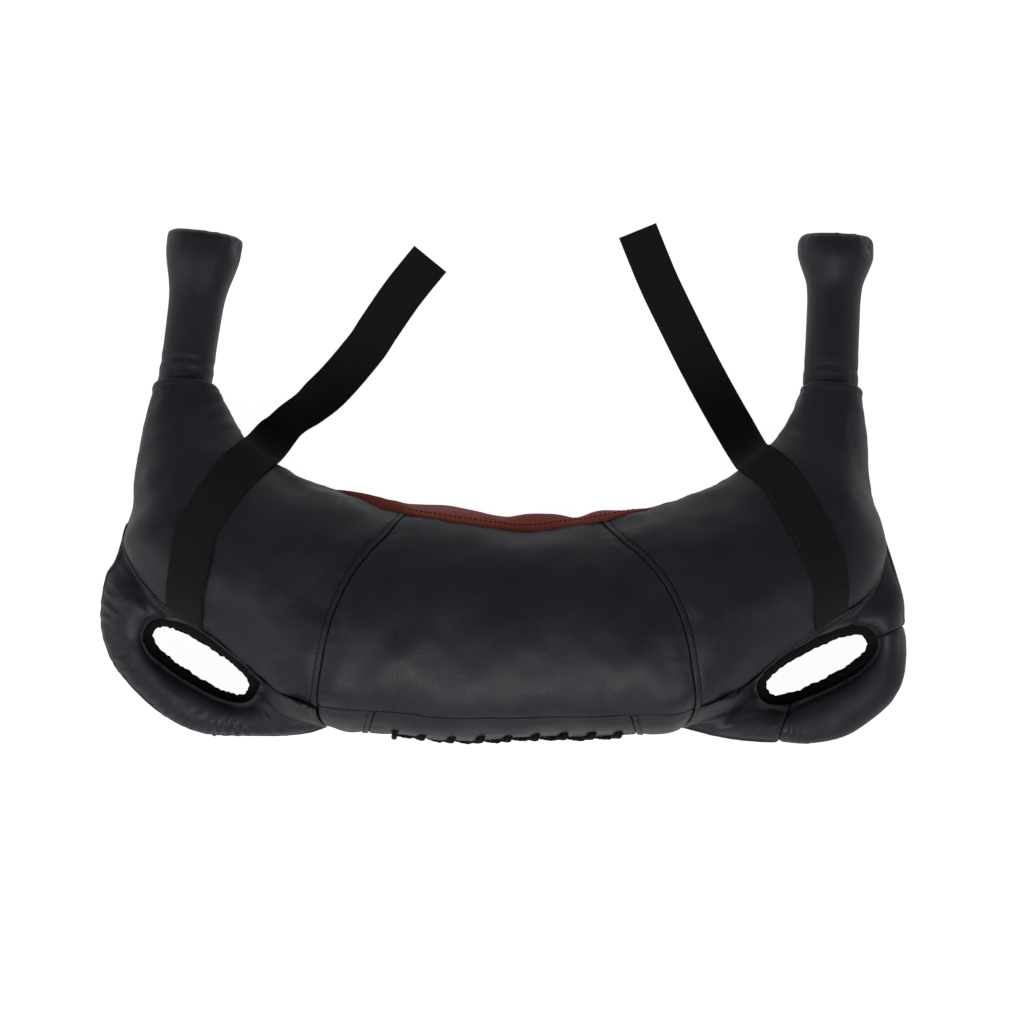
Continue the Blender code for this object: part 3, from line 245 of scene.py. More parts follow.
def coated_leather(name, hex_code, polished_hex, cell, relief, rough_low, rough_high):
    """Embossed leather: cells of a real size, fine wrinkles between them and polished patches."""
    material, tree, shader, place = start_material(name, hex_code, (rough_low + rough_high) / 2)
    position = place.outputs["Object"]
    warp = noise(tree, position, 1 / (cell * 6), 2.0)["Color"]
    bent = add_node(tree, "ShaderNodeMixRGB", {0: 0.0012, 1: position, 2: warp}, blend_type="LINEAR_LIGHT")
    cells = add_node(tree, "ShaderNodeTexVoronoi", {"Vector": bent.outputs[0], "Scale": 1 / cell},
                     feature="DISTANCE_TO_EDGE")
    round_cells = mapped(tree, cells.outputs["Distance"], 0.0, 0.22, 0.0, 1.0,
                         interpolation_type="SMOOTHSTEP")
    wrinkles = noise(tree, position, 1 / (cell * 3.5), 6.0, 0.62)["Fac"]
    height = maths(tree, "MULTIPLY_ADD", round_cells, 0.45, wrinkles)
    patches = noise(tree, position, 14.0, 4.0, 0.6)["Fac"]
    tree.links.new(mapped(tree, patches, 0.35, 0.68, rough_low, rough_high), shader.inputs["Roughness"])
    worn = mapped(tree, patches, 0.4, 0.75, 0.0, 0.8)
    finish_shader(tree, shader, height, 0.55, relief, worn, hex_code, polished_hex)
    return material


black_leather = coated_leather("black_coated_leather", "#17181f", "#1f2028", 0.0011, 0.00024, 0.38, 0.52)
brown_leather = coated_leather("oxblood_coated_leather", "#ab4732", "#ba5740", 0.0017, 0.0009, 0.5, 0.66)
print("leather cells of 1.1 and 1.7 mm")

# %% [markdown]
# Woven things keep their pattern along the cloth, so their materials read the piece's own UV map,
# which holds real distances in metres along and across the strip. Webbing is a herringbone weave
# with ribs about a millimetre apart; the tape is ribbed; the cord is braided on the skew.

# %% Webbing, tape, braid and thread


def ribbed_cloth(name, hex_code, groove_shade_hex, along, across, skew, roughness, relief):
    """Woven strip: two crossed waves of real spacing over the piece's own UV map, with painted shade in the
    grooves.
    """
    material, tree, shader, place = start_material(name, hex_code, roughness, 0.15)
    parts = add_node(tree, "ShaderNodeSeparateXYZ", {"Vector": place.outputs["UV"]}).outputs
    zigzag = maths(tree, "PINGPONG", parts["Y"], across * 4)
    lean = maths(tree, "MULTIPLY_ADD", zigzag, skew, parts["X"])
    ribs = maths(tree, "SINE", maths(tree, "MULTIPLY", lean, math.tau / along))
    yarns = maths(tree, "SINE", maths(tree, "MULTIPLY", parts["Y"], math.tau / across))
    weave = maths(tree, "MULTIPLY_ADD", ribs, 0.7, yarns)
    fuzz = noise(tree, place.outputs["Object"], 1800.0, 3.0)["Fac"]
    height = maths(tree, "MULTIPLY_ADD", fuzz, 0.8, weave)
    # The colour follows the weave's height: the grooves get the darker colour, a painted shade that also
    # draws the weave.
    shade = mapped(tree, weave, -1.5, 1.5, 0.0, 1.0)
    finish_shader(tree, shader, height, 0.7, relief, shade, groove_shade_hex, hex_code)
    shader.inputs["Sheen Weight"].default_value = 0.04
    return material


# The second colour of each cloth is the painted shade in its grooves.
webbing = ribbed_cloth("black_polyester_webbing", "#2f2f2b", "#0f0f0e", 0.0017, 0.0011, 0.9, 0.85, 0.00035)
tape = ribbed_cloth("black_ribbed_tape", "#1d1d1b", "#0b0b0a", 0.0016, 0.0024, 0.0, 0.9, 0.0003)
braid = ribbed_cloth("black_braided_cord", "#1c1c1b", "#0a0a0a", 0.0021, 0.0026, 1.6, 0.75, 0.0003)
thread = start_material("black_sewing_thread", "#0c0c0d", 0.7, 0.25)[0]
print("cloths ready")

# %% [markdown]
# ## The stuffed body as one rule
# The solids were lofted from a table: at each station along the crescent a rounded section stands
# between an inner and an outer edge point. The same table is written here again, because a fine mesh
# needs many more points than the solids have. A place is a station and an angle round the section:
# 0 is the outer edge, 90 the front, 180 the inner edge and 270 the back. Numpy works on whole grids
# of places at once.

# %% Body table and surface
HALF_WIDTH, HEIGHT, HALF_THICKNESS = 0.338, 0.300, 0.084
STATION_STEP, DEGREE_STEP = 0.01, 0.5
SECTION_POWER = 2.4
STATIONS = np.array([
    # inner edge point, outer edge point, half thickness and height of the section's middle, as shares
    (-0.723, 0.678, -0.875, 0.700, 0.298, 0.500),
    (-0.661, 0.560, -0.902, 0.560, 0.440, 0.524),
    (-0.604, 0.498, -0.924, 0.364, 0.583, 0.595),
    (-0.562, 0.465, -0.954, 0.238, 0.690, 0.655),
    (-0.509, 0.423, -0.892, 0.090, 0.762, 0.714),
    (-0.447, 0.398, -0.790, 0.014, 0.833, 0.774),
    (-0.373, 0.375, -0.666, -0.098, 0.893, 0.821),
    (-0.286, 0.344, -0.549, -0.213, 0.940, 0.869),
    (-0.186, 0.325, -0.385, -0.283, 0.976, 0.905),
    (0.000, 0.300, 0.000, -0.305, 1.000, 0.923),
    (0.174, 0.302, 0.373, -0.283, 0.976, 0.905),
    (0.291, 0.325, 0.564, -0.213, 0.940, 0.869),
    (0.398, 0.353, 0.681, -0.092, 0.893, 0.821),
    (0.472, 0.384, 0.808, 0.014, 0.833, 0.774),
    (0.529, 0.409, 0.915, 0.084, 0.762, 0.714),
    (0.579, 0.445, 0.947, 0.218, 0.690, 0.655),
    (0.639, 0.501, 0.915, 0.392, 0.583, 0.595),
    (0.688, 0.560, 0.892, 0.560, 0.440, 0.524),
    (0.743, 0.683, 0.882, 0.676, 0.298, 0.500),
])
LAST, MIDDLE = 18, 9
SIDES = ("left", "right")
LEAVES = ((1, "front"), (-1, "back"))
CORNER_STATION, ARC_STATION, CROSS_STATION = 2.5, 7.5, 8.15
STRIP_SHIFT, ARC_BOW = 0.25, 0.56
CORNER_SEAM = [
    (2.5, 0), (3, 9), (3.5, 18), (4, 26), (4.5, 24), (5, 20.5), (6, 20.5), (7, 27), (7.5, 31.5),
]
STRIP_SEAM = [(7.5, 31.5), (8, 36.5), (8.5, 39), (9, 39.5)]
PAD_SEAM = [(5.25, 0), (5.5, 1.4), (5.75, 4.3), (6, 8), (6.5, 12.3), (7, 16), (8, 21.8), (9, 23)]
PAD_RISE = [(5.25, 0.1), (5.5, 0.2), (6, 0.36), (7, 0.8), (8, 1), (9, 1)]
ARC_SEAM = [(0, 0), (0.2, 0.44), (0.3, 0.72), (0.42, 1), (0.52, 1), (0.62, 0.82), (0.71, 0.5), (1, 0)]


def fade(value):
    """Smooth step from 0 to 1."""
    value = np.clip(value, 0, 1)
    return value * value * (3 - 2 * value)


def bell(distance, width):
    """1 at no distance, fading out smoothly over a width."""
    return np.exp(-(distance / width) ** 2)


def unit(vectors):
    return vectors / (np.linalg.norm(vectors, axis=-1, keepdims=True) + 1e-12)


def run_along(points):
    """Length along a line of points, from its start."""
    return np.concatenate([[0], np.cumsum(np.linalg.norm(np.diff(points, axis=0), axis=1))])


def cubic(start, end, leave, arrive, share):
    """Smooth curve between two values that leaves and arrives with given slopes."""
    squared, cubed = share ** 2, share ** 3
    blend = 2 * cubed - 3 * squared
    value = start * (blend + 1) - end * blend
    return value + leave * (cubed - 2 * squared + share) + arrive * (cubed - squared)


def row_at(table, position):
    """Smooth (Catmull-Rom) value of a table of rows at fractional row numbers."""
    table = np.asarray(table, float)
    last = len(table) - 1
    position = np.clip(np.asarray(position, float), 0, last)
    index = np.minimum(position.astype(int), last - 1)
    before, start = table[np.maximum(index - 1, 0)], table[index]
    end, after = table[index + 1], table[np.minimum(index + 2, last)]
    return cubic(start, end, (end - before) / 2, (after - start) / 2, (position - index)[..., None])


def table_value(table, key):
    """Smooth value of a two-column table at keys."""
    keys, values = np.array(table, float).T
    slopes = np.empty_like(values)
    slopes[1:-1] = (values[2:] - values[:-2]) / (keys[2:] - keys[:-2])
    slopes[0] = (values[1] - values[0]) / (keys[1] - keys[0])
    slopes[-1] = (values[-1] - values[-2]) / (keys[-1] - keys[-2])
    key = np.clip(np.asarray(key, float), keys[0], keys[-1])
    index = np.clip(np.searchsorted(keys, key, side="right") - 1, 0, len(keys) - 2)
    width = keys[index + 1] - keys[index]
    return cubic(values[index], values[index + 1], slopes[index] * width, slopes[index + 1] * width,
                 (key - keys[index]) / width)


def rounded(value, power=SECTION_POWER):
    return np.sign(value) * np.abs(value) ** (2 / power)


def body(station, degrees, depth=0.0):
    """Points of the stuffed body, some depth below its skin. It is flat where it lies on the ground."""
    station, degrees, depth = np.broadcast_arrays(*map(np.asarray, (station, degrees, depth)))
    row = row_at(STATIONS, station)
    inner = row[..., 0:2] * (HALF_WIDTH, HEIGHT)
    outer = row[..., 2:4] * (HALF_WIDTH, HEIGHT)
    across = outer - inner
    length = np.linalg.norm(across, axis=-1)
    angle = np.radians(degrees)
    reach = (length / 2 - depth) * rounded(np.cos(angle)) / length
    plan = (inner + outer) / 2 + across * reach[..., None]
    height = (row[..., 5] * HALF_THICKNESS) + (row[..., 4] * HALF_THICKNESS - depth) * rounded(np.sin(angle))
    return np.concatenate([plan, np.maximum(height, depth)[..., None]], -1)


def body_normal(station, degrees):
    """Outward direction of the skin."""
    along = body(station + STATION_STEP, degrees) - body(station - STATION_STEP, degrees)
    over = body(station, degrees + DEGREE_STEP) - body(station, degrees - DEGREE_STEP)
    normal = unit(np.cross(along, over))
    row = row_at(STATIONS, station)
    centre = np.concatenate([(row[..., 0:2] + row[..., 2:4]) / 2 * (HALF_WIDTH, HEIGHT),
                             row[..., 5:6] * HALF_THICKNESS], -1)
    facing = np.sum(normal * (body(station, degrees) - centre), -1, keepdims=True)
    return normal * np.sign(facing)


def skin(station, degrees):
    """Points of the body and their outward directions."""
    return body(station, degrees), body_normal(station, degrees)


def from_mouth(station):
    """Station counted from the nearer horn's mouth."""
    return np.minimum(station, LAST - station)


def on_side(side, station):
    return station if side == "left" else LAST - station


def edge_degrees(station, offset):
    """Angle at which the skin is an offset above the outer edge."""
    half = row_at(STATIONS, station)[..., 4] * HALF_THICKNESS
    return np.degrees(np.arcsin(np.minimum(offset / half, 1) ** (SECTION_POWER / 2)))


GRIP_LENGTH, GRIP_RADIUS, FLARE_RADIUS, HINGE_OFFSET = 0.127, 0.0226, 0.0320, 0.003
DROOP = math.radians(3.6)
LEAN = {"left": math.radians(8.0), "right": math.radians(2.5)}
GRIP_PROFILE = {
    # share of the length, share of the flare
    "left": [
        (0.00, 0.05), (0.04, 0.04), (0.10, 0.02), (0.25, 0.00), (0.41, 0.04), (0.54, 0.10), (0.606, 0.20),
        (0.67, 0.37), (0.735, 0.60), (0.80, 0.82), (0.865, 0.97), (0.92, 1.00), (0.955, 1.00), (0.982, 0.90),
        (1.00, 0.66),
    ],
    "right": [
        (0.00, 0.05), (0.04, 0.03), (0.10, 0.00), (0.25, -0.04), (0.45, -0.05), (0.573, -0.04),
        (0.66, 0.06), (0.707, 0.22), (0.76, 0.50), (0.84, 0.90), (0.89, 1.00), (0.94, 0.98), (0.975, 0.80),
        (1.00, 0.50),
    ],
}


def grip_frame(side):
    """Axes and root of a grip: across, downward, forward and the place where it leaves the horn."""
    row = STATIONS[0 if side == "left" else LAST]
    level = math.cos(DROOP)
    forward = np.array([math.sin(LEAN[side]) * level, math.cos(LEAN[side]) * level, -math.sin(DROOP)])
    across = unit(np.cross(forward, (0, 0, 1)))
    root = np.array([*(row[0:2] + row[2:4]) / 2 * (HALF_WIDTH, HEIGHT), row[5] * HALF_THICKNESS])
    return across, np.cross(forward, across), forward, root + forward * HINGE_OFFSET


STRAP_PRESS, STRAP_RECOVER = 0.0205, 0.014
STRAP_ROUTE = {
    # station and angle, from the corner seam to the inner edge
    "left": [
        (4.98, 10), (4.78, 32), (4.45, 51), (4.05, 68), (3.64, 80), (3.28, 91), (2.85, 104), (2.32, 123),
        (2.06, 148), (1.96, 180),
    ],
    "right": [
        (5.00, 10), (4.85, 32), (4.54, 51), (4.12, 68), (3.69, 82), (3.27, 93), (2.88, 105), (2.56, 121),
        (2.42, 145), (2.34, 180),
    ],
}


def beside_straps(points):
    """0 where a strap presses the cover flat, 1 well beside it."""
    nearest = np.full(points.shape[:-1], 1.0)
    for side in SIDES:
        line = row_at(STRAP_ROUTE[side], np.linspace(0, len(STRAP_ROUTE[side]) - 1, 60))
        for spot in body(on_side(side, line[:, 0]), line[:, 1]):
            nearest = np.minimum(nearest, np.linalg.norm(points - spot, axis=-1))
    return fade((nearest - STRAP_PRESS) / STRAP_RECOVER)


outer_edge = body(np.linspace(0, LAST, 99), 0)
print(f"body is {np.ptp(outer_edge[:, 0]):.3f} m wide along its outer edge")

# %% [markdown]
# ## How sewn leather moves
# Each cover is a grid of points on the body. What makes it look sewn is how its height changes near
# a border: it rolls over into the seam, it dips in a shallow valley because the thread pulls it down,
# and it puckers in short waves that die out away from the thread. A border with a topstitch also has
# a raised band, where the seam allowance lies folded underneath, and a groove under the stitches.
# Distances are real metres measured along the grid.

# %% Seam profiles and soft forms


def waves(along, seed, lengths, heights):
    """Uneven waves along a seam: a few sines of unlike lengths with seeded phases."""
    chance = np.random.default_rng(seed)
    total = np.zeros_like(np.asarray(along, float))
    for length, height in zip(lengths, heights):
        for _ in range(3):
            own = length * chance.uniform(0.75, 1.35)
            total += height * np.sin(along / own * math.tau + chance.uniform(0, math.tau)) / 1.7
    return total


def lumps(points, seed=4, lengths=(0.11, 0.055, 0.026), heights=(0.0011, 0.0005, 0.00016)):
    """Soft unevenness of the filling: the same field everywhere, so neighbours agree at a seam."""
    chance = np.random.default_rng(seed)
    total = np.zeros(points.shape[:-1])
    for length, height in zip(lengths, heights):
        for _ in range(7):
            turn = chance.normal(size=3)
            turn *= math.tau / length / np.linalg.norm(turn)
            total += height / 1.9 * np.sin(points @ turn + chance.uniform(0, math.tau))
    return total


BAND_STEP, BAND_GROOVE, GROOVE_WIDTH = 0.0012, 0.0005, 0.0007
SEAM_STYLES = {
    # roll radius, sink, valley depth, valley reach, pucker height, pucker reach, fold rise, fold width
    "tucked": (0.0018, 0.0017, 0.0009, 0.010, 0.00020, 0.014, 0.0, 0.0),
    "folded": (0.0012, 0.0016, 0.0009, 0.012, 0.00022, 0.016, 0.00075, 0.0046),
    "over": (0.0016, 0.0010, 0.0003, 0.008, 0.00014, 0.012, 0.0, 0.0),
    "welt": (0.0016, 0.0015, 0.0, 0.010, 0.00010, 0.012, 0.00085, 0.0046),
    "edge": (0.0016, 0.0016, 0.0006, 0.008, 0.00034, 0.014, 0.0, 0.0),
    "bound": (0.0012, 0.0006, 0.0002, 0.006, 0.00008, 0.010, 0.0, 0.0),
    "hem": (0.0030, 0.0024, -0.0006, 0.006, 0.00025, 0.010, 0.00050, 0.0052),
    "pulled": (0.0052, 0.0019, 0.0006, 0.010, 0.00025, 0.016, 0.0, 0.0),
    "groove": (0.0026, 0.0009, 0.0, 0.010, 0.0, 0.012, 0.0, 0.0),
    "slit": (0.0016, 0.0014, -0.0004, 0.006, 0.00015, 0.008, 0.0, 0.0),
}


def seam_height(distance, along, style, seed):
    """Height of a cover near one of its borders."""
    radius, sink, valley, reach, pucker, pucker_reach, fold, fold_width = SEAM_STYLES[style]
    edge = np.clip(1 - distance / radius, 0, 1)
    height = -sink * (1 - np.sqrt(1 - edge * edge)) - valley * bell(distance, reach)
    if pucker:
        ripple = waves(along, seed, (0.0065, 0.013, 0.027), (0.35, 0.7, 1.0))
        height += pucker * ripple * np.exp(-distance / pucker_reach) * fade(distance / 0.004)
    if fold:
        height += fold * (1 - fade((distance - fold_width) / BAND_STEP))
        height -= BAND_GROOVE * bell(distance - fold_width - BAND_STEP, GROOVE_WIDTH)
    return height


def border_height(reach, borders):
    """Height that the seams give a cover. A border is its name, its style and its seed."""
    total = 0.0
    for border, style, seed in borders:
        run = reach["left"] if border in ("bottom", "top") else reach["bottom"]
        total = total + seam_height(reach[border], run, style, seed)
    return total


def steps(length, fine=0.0006, coarse=0.0022, margin=0.008):
    """Shares from 0 to 1 with fine spacing near both ends, where the seams are."""
    margin = min(margin, length / 3)
    edge = np.arange(0, margin, fine)
    count = max(int((length - 2 * margin) / coarse), 2)
    places = np.concatenate([edge, np.linspace(margin, length - margin, count), length - edge[::-1]])
    return np.clip(places / length, 0, 1)


def patch(bottom, top, left, right, columns, rows):
    """Grid of places between four edge curves (a Coons patch)."""
    u, v = columns[None, :, None], rows[:, None, None]
    low, high, start, end = bottom(columns), top(columns), left(rows), right(rows)
    ruled = low[None] * (1 - v) + high[None] * v + start[:, None] * (1 - u) + end[:, None] * u
    corners = low[0] * (1 - u) * (1 - v) + low[-1] * u * (1 - v) + high[0] * (1 - u) * v + high[-1] * u * v
    return ruled - corners


def pair(station, degrees):
    """Places from stations and angles of any matching shapes."""
    station, degrees = np.broadcast_arrays(np.asarray(station, float), np.asarray(degrees, float))
    return np.stack([station, degrees], -1)


def distances(points):
    """Distance of every grid point from the four borders, and the length along each direction."""
    over = np.linalg.norm(np.diff(points, axis=1), axis=-1)
    up = np.linalg.norm(np.diff(points, axis=0), axis=-1)
    along = np.concatenate([np.zeros((points.shape[0], 1)), np.cumsum(over, 1)], 1)
    rise = np.concatenate([np.zeros((1, points.shape[1])), np.cumsum(up, 0)], 0)
    return {"left": along, "right": along[:, -1:] - along, "bottom": rise, "top": rise[-1:] - rise}


def grid_normals(points, closed=False):
    """Normals of a grid of points, by differences."""
    along = np.gradient(points, axis=1)
    if closed:
        along = (np.roll(points, -1, 1) - np.roll(points, 1, 1)) / 2
    return unit(np.cross(along, np.gradient(points, axis=0)))


print("styles:", ", ".join(SEAM_STYLES))

# %% [markdown]
# ## From grids to meshes
# A cover has a thickness, so its mesh is the outer grid, the same grid a wall lower, and the rims
# between them. Vertices and faces are numbered with numpy and handed to Blender in one go. Real
# distances along and across the piece go into its UV map for the woven finishes.

# %% Mesh builder
LEATHER = 0.0016


def shell_faces(rows, columns, closed_columns=False, closed_rows=False):
    """Faces of a closed shell over an outer and an inner grid."""
    number = np.arange(rows * columns).reshape(rows, columns)
    if closed_columns:
        number = np.concatenate([number, number[:, :1]], 1)
    if closed_rows:
        number = np.concatenate([number, number[:1]], 0)
    corner = np.stack([number[:-1, :-1], number[:-1, 1:], number[1:, 1:], number[1:, :-1]], -1).reshape(-1, 4)
    under = rows * columns
    faces = [corner, corner[:, ::-1] + under]
    if not closed_rows:
        for line, flip in ((number[0], True), (number[-1], False)):
            rim = np.stack([line[:-1], line[1:], line[1:] + under, line[:-1] + under], -1)
            faces.append(rim[:, ::-1] if flip else rim)
    if not closed_columns:
        for line, flip in ((number[:, 0], False), (number[:, -1], True)):
            rim = np.stack([line[:-1], line[1:], line[1:] + under, line[:-1] + under], -1)
            faces.append(rim[:, ::-1] if flip else rim)
    return np.concatenate(faces)


def make_piece(name, points, faces, material, uv=None):
    """Object with its place in its mesh, from an array or a list of faces. Normals are turned outwards."""
    mesh = bpy.data.meshes.new(name)
    faces = faces.tolist() if isinstance(faces, np.ndarray) else faces
    mesh.from_pydata(np.asarray(points, float).reshape(-1, 3).tolist(), [], faces)
    if uv is not None:
        layer = mesh.uv_layers.new(name="cloth")
        corners = np.zeros(len(mesh.loops), int)
        mesh.loops.foreach_get("vertex_index", corners)
        layer.uv.foreach_set("vector", np.asarray(uv, float).reshape(-1, 2)[corners].ravel())
    shape = bmesh.new()
    shape.from_mesh(mesh)
    bmesh.ops.recalc_face_normals(shape, faces=shape.faces)
    shape.to_mesh(mesh)
    shape.free()
    mesh.shade_smooth()
    mesh.materials.append(material)
    return new_object(name, mesh)


def shell_piece(name, outer, normal, wall, material, closed=False):
    """Cover with a wall, from its outer grid."""
    inner = outer - normal * wall
    faces = shell_faces(*outer.shape[:2], closed_columns=closed)
    run = distances(outer)
    uv = np.stack([run["left"], run["bottom"]], -1)
    points = np.concatenate([outer.reshape(-1, 3), inner.reshape(-1, 3)])
    return make_piece(name, points, faces, material, np.concatenate([uv.reshape(-1, 2)] * 2))


def dress(piece, body_name, slot, *nodes):
    """Say which body a piece rides on and which solids it stands for. The slot is not used."""
    if body_name:
        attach(piece, body_name)
    if nodes:
        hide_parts(*nodes)
    print(f"{piece.name}: {len(piece.data.polygons)} faces")


def leather_cover(name, outer, normal, *nodes, wall=LEATHER, closed=False):
    """Black leather piece on the bag itself."""
    piece = shell_piece(name, outer, normal, wall, black_leather, closed)
    dress(piece, "bag", "black_pu_leather", *nodes)
    return piece


# %% [markdown]
# ## Let the leather settle
# Leather sewn over a firm filling is never quite the shape it was cut to: there is some spare length
# between the seams, and it buckles into soft folds. Blender's cloth solver finds them. A coarse copy of
# a cover is held at its borders, given a few per cent of spare length and a light pressure from inside,
# and run for twenty frames. The movement is cleared of its general swelling, capped, and carried over
# to the fine grid, so the cover keeps its outline and gains its folds.

# %% Cloth settling
SETTLE_CELL, SETTLE_FRAMES, SETTLE_ROOM = 0.0062, 20, 0.014


def grid_at(table, rows, columns):
    """Smooth values of a grid of rows at fractional row and column numbers."""
    height, width, size = table.shape
    down = row_at(table.reshape(height, -1), rows).reshape(len(rows), width, size)
    over = row_at(down.transpose(1, 0, 2).reshape(width, -1), columns)
    return over.reshape(len(columns), len(rows), size).transpose(1, 0, 2)


def blurred(table, passes, closed):
    """Grid of numbers averaged with its neighbours."""
    for _ in range(passes):
        wide = np.pad(table, ((1, 1), (0, 0)), mode="edge")
        wide = np.pad(wide, ((0, 0), (1, 1)), mode="wrap" if closed else "edge")
        table = (wide[1:-1, :-2] + wide[1:-1, 2:] + wide[:-2, 1:-1] + wide[2:, 1:-1] + 2 * table) / 6
    return table


def run_cloth(points, faces, held, spare, pressure):
    """Places of a sheet's points after it has settled."""
    mesh = bpy.data.meshes.new("settling_sheet")
    mesh.from_pydata(points.reshape(-1, 3).tolist(), [], faces.tolist())
    sheet = new_object("settling_sheet", mesh)
    scene = bpy.context.scene
    sheet.vertex_groups.new(name="held").add(held.tolist(), 1.0, "REPLACE")
    cloth = sheet.modifiers.new("cloth", "CLOTH")
    cloth.collision_settings.use_collision = False
    cloth.point_cache.frame_start, cloth.point_cache.frame_end = 1, SETTLE_FRAMES
    rules = cloth.settings
    rules.quality, rules.mass, rules.air_damping = 5, 0.3, 1.0
    rules.tension_stiffness = rules.compression_stiffness = 14.0
    rules.shear_stiffness, rules.bending_stiffness = 6.0, 0.35
    rules.use_pressure, rules.uniform_pressure_force = True, pressure
    rules.vertex_group_mass, rules.shrink_min = "held", -spare
    rules.effector_weights.gravity = 0.0
    for number in range(1, SETTLE_FRAMES + 1):
        scene.frame_set(number)
    settled = sheet.evaluated_get(bpy.context.evaluated_depsgraph_get()).data
    places = np.zeros(len(settled.vertices) * 3)
    settled.vertices.foreach_get("co", places)
    scene.frame_set(1)
    bpy.data.objects.remove(sheet, do_unlink=True)
    bpy.data.meshes.remove(mesh)
    return places.reshape(points.shape)


def settle(outer, normal, spare=0.03, pressure=1.0, cap=0.0007, closed=False):
    """Height that the cloth solver adds to a cover, for each point of its grid."""
    if closed:
        outer, normal = (np.concatenate([grid, grid[:, :1]], 1) for grid in (outer, normal))
    reach = distances(outer)
    width, length = reach["left"][:, -1], reach["bottom"][-1]
    u, v = (reach["left"] / width[:, None]).mean(0), (reach["bottom"] / length[None]).mean(1)
    over, up = int(width.max() / SETTLE_CELL), max(int(length.max() / SETTLE_CELL), 6)
    columns = np.interp(np.linspace(0, 1, over + 1), u, np.arange(len(u)))
    rows = np.interp(np.linspace(0, 1, up + 1), v, np.arange(len(v)))
    coarse, lean = grid_at(outer, rows, columns), grid_at(normal, rows, columns)
    sheet = coarse[:, :-1] if closed else coarse
    number = np.arange(sheet.shape[0] * sheet.shape[1]).reshape(sheet.shape[:2])
    held = np.concatenate([number[0], number[-1]] + ([] if closed else [number[:, 0], number[:, -1]]))
    beside = np.concatenate([number, number[:, :1]], 1) if closed else number
    faces = np.stack([beside[:-1, :-1], beside[:-1, 1:], beside[1:, 1:], beside[1:, :-1]], -1).reshape(-1, 4)
    edge_a, edge_b = sheet[0, 1] - sheet[0, 0], sheet[1, 0] - sheet[0, 0]
    if np.cross(edge_a, edge_b) @ lean[0, 0] < 0:
        faces = faces[:, ::-1]
    moved = run_cloth(sheet, faces, held, spare, pressure) - sheet
    if closed:
        moved = np.concatenate([moved, moved[:, :1]], 1)
    rise = np.sum(moved * lean, -1)
    rise = blurred(rise, 2, closed) - blurred(rise, 30, closed)
    rise = cap * np.tanh(rise / (2 * cap))
    fine = grid_at(rise[..., None], v * up, u * over)[..., 0]
    borders = ("bottom", "top") if closed else ("bottom", "top", "left", "right")
    room = fade(np.minimum.reduce([reach[border] for border in borders]) / SETTLE_ROOM)
    fine = fine * room
    return fine[:, :-1] if closed else fine


# %% [markdown]
# ## Front and back covers
# The crescent is cut in three on each face: a centre panel and two side panels that run up into the
# horns. The seams between them are bowed arcs. The side panel's edge is folded and topstitched beside
# the arc seam. A list of creases, placed by pixels of the photograph, adds the pull folds near the
# straps, the horns and the corners. Where the filling stands out at the outer edge, a swell lifts the
# skin. The neck pad's front seam is found where the skin crosses its line in the photograph.

# %% Creases of the front
CREASES = [
    # start, end (photograph pixels), half width in metres, depth in metres
    ((232, 400), (196, 412), 0.0030, 0.0005), ((240, 414), (205, 424), 0.0034, 0.0006),
    ((246, 430), (214, 432), 0.0030, 0.0004), ((789, 411), (824, 420), 0.0032, 0.0005),
    ((783, 424), (812, 438), 0.0030, 0.0005), ((258, 662), (296, 642), 0.0042, 0.0008),
    ((262, 680), (300, 668), 0.0040, 0.0006), ((300, 560), (262, 596), 0.0085, 0.0006),
    ((345, 498), (336, 520), 0.0028, 0.0004), ((322, 486), (312, 506), 0.0030, 0.0004),
    ((760, 680), (728, 664), 0.0042, 0.0005), ((262, 712), (272, 728), 0.0024, 0.0005),
    ((706, 729), (737, 715), 0.0024, 0.0008), ((720, 722), (749, 692), 0.0032, 0.0011),
    ((738, 712), (764, 704), 0.0026, 0.0007), ((704, 712), (734, 700), 0.0020, 0.0008),
    ((716, 727), (752, 716), 0.0024, 0.0007), ((160, 605), (146, 590), 0.0034, 0.0006),
    ((140, 602), (122, 590), 0.0032, 0.0006), ((123, 658), (131, 666), 0.0020, 0.0008),
    ((114, 606), (124, 613), 0.0024, 0.0007), ((138, 595), (148, 611), 0.0024, 0.0007),
    ((150, 708), (165, 694), 0.0024, 0.0009), ((170, 716), (178, 704), 0.0024, 0.0004),
    ((184, 722), (197, 709), 0.0024, 0.0008), ((196, 730), (210, 713), 0.0024, 0.0009),
    ((219, 728), (226, 716), 0.0020, 0.0009), ((228, 730), (233, 718), 0.0019, 0.0009),
    ((237, 730), (241, 720), 0.0019, 0.0008), ((266, 708), (284, 728), 0.0026, 0.0008),
]
# arch, forward offset and slope across the horn's mouth
MOUTH = {"left": (0.0091, -0.0037, 0.05), "right": (0.0058, -0.0002, -0.062)}
MOUTH_REACH, MOUTH_RADIUS, MOUTH_HALF, MOUTH_BALL = 0.036, 0.025, 0.03, 0.08


def mouth_shift(points, side):
    """Forward shift near a horn's mouth: its upper half reaches further along the grip."""
    across, down, forward, root = grip_frame(side)
    arch, offset, slope = MOUTH[side]
    along = (points - root) @ forward + HINGE_OFFSET
    lift = np.clip(-((points - root) @ down) / MOUTH_RADIUS, 0, 1)
    shift = arch * lift + offset + slope * np.clip((points - root) @ across, -MOUTH_HALF, MOUTH_HALF)
    near = fade(1 - np.abs(along) / MOUTH_REACH) * (np.linalg.norm(points - root, axis=-1) < MOUTH_BALL)
    return forward * (shift * near)[..., None]


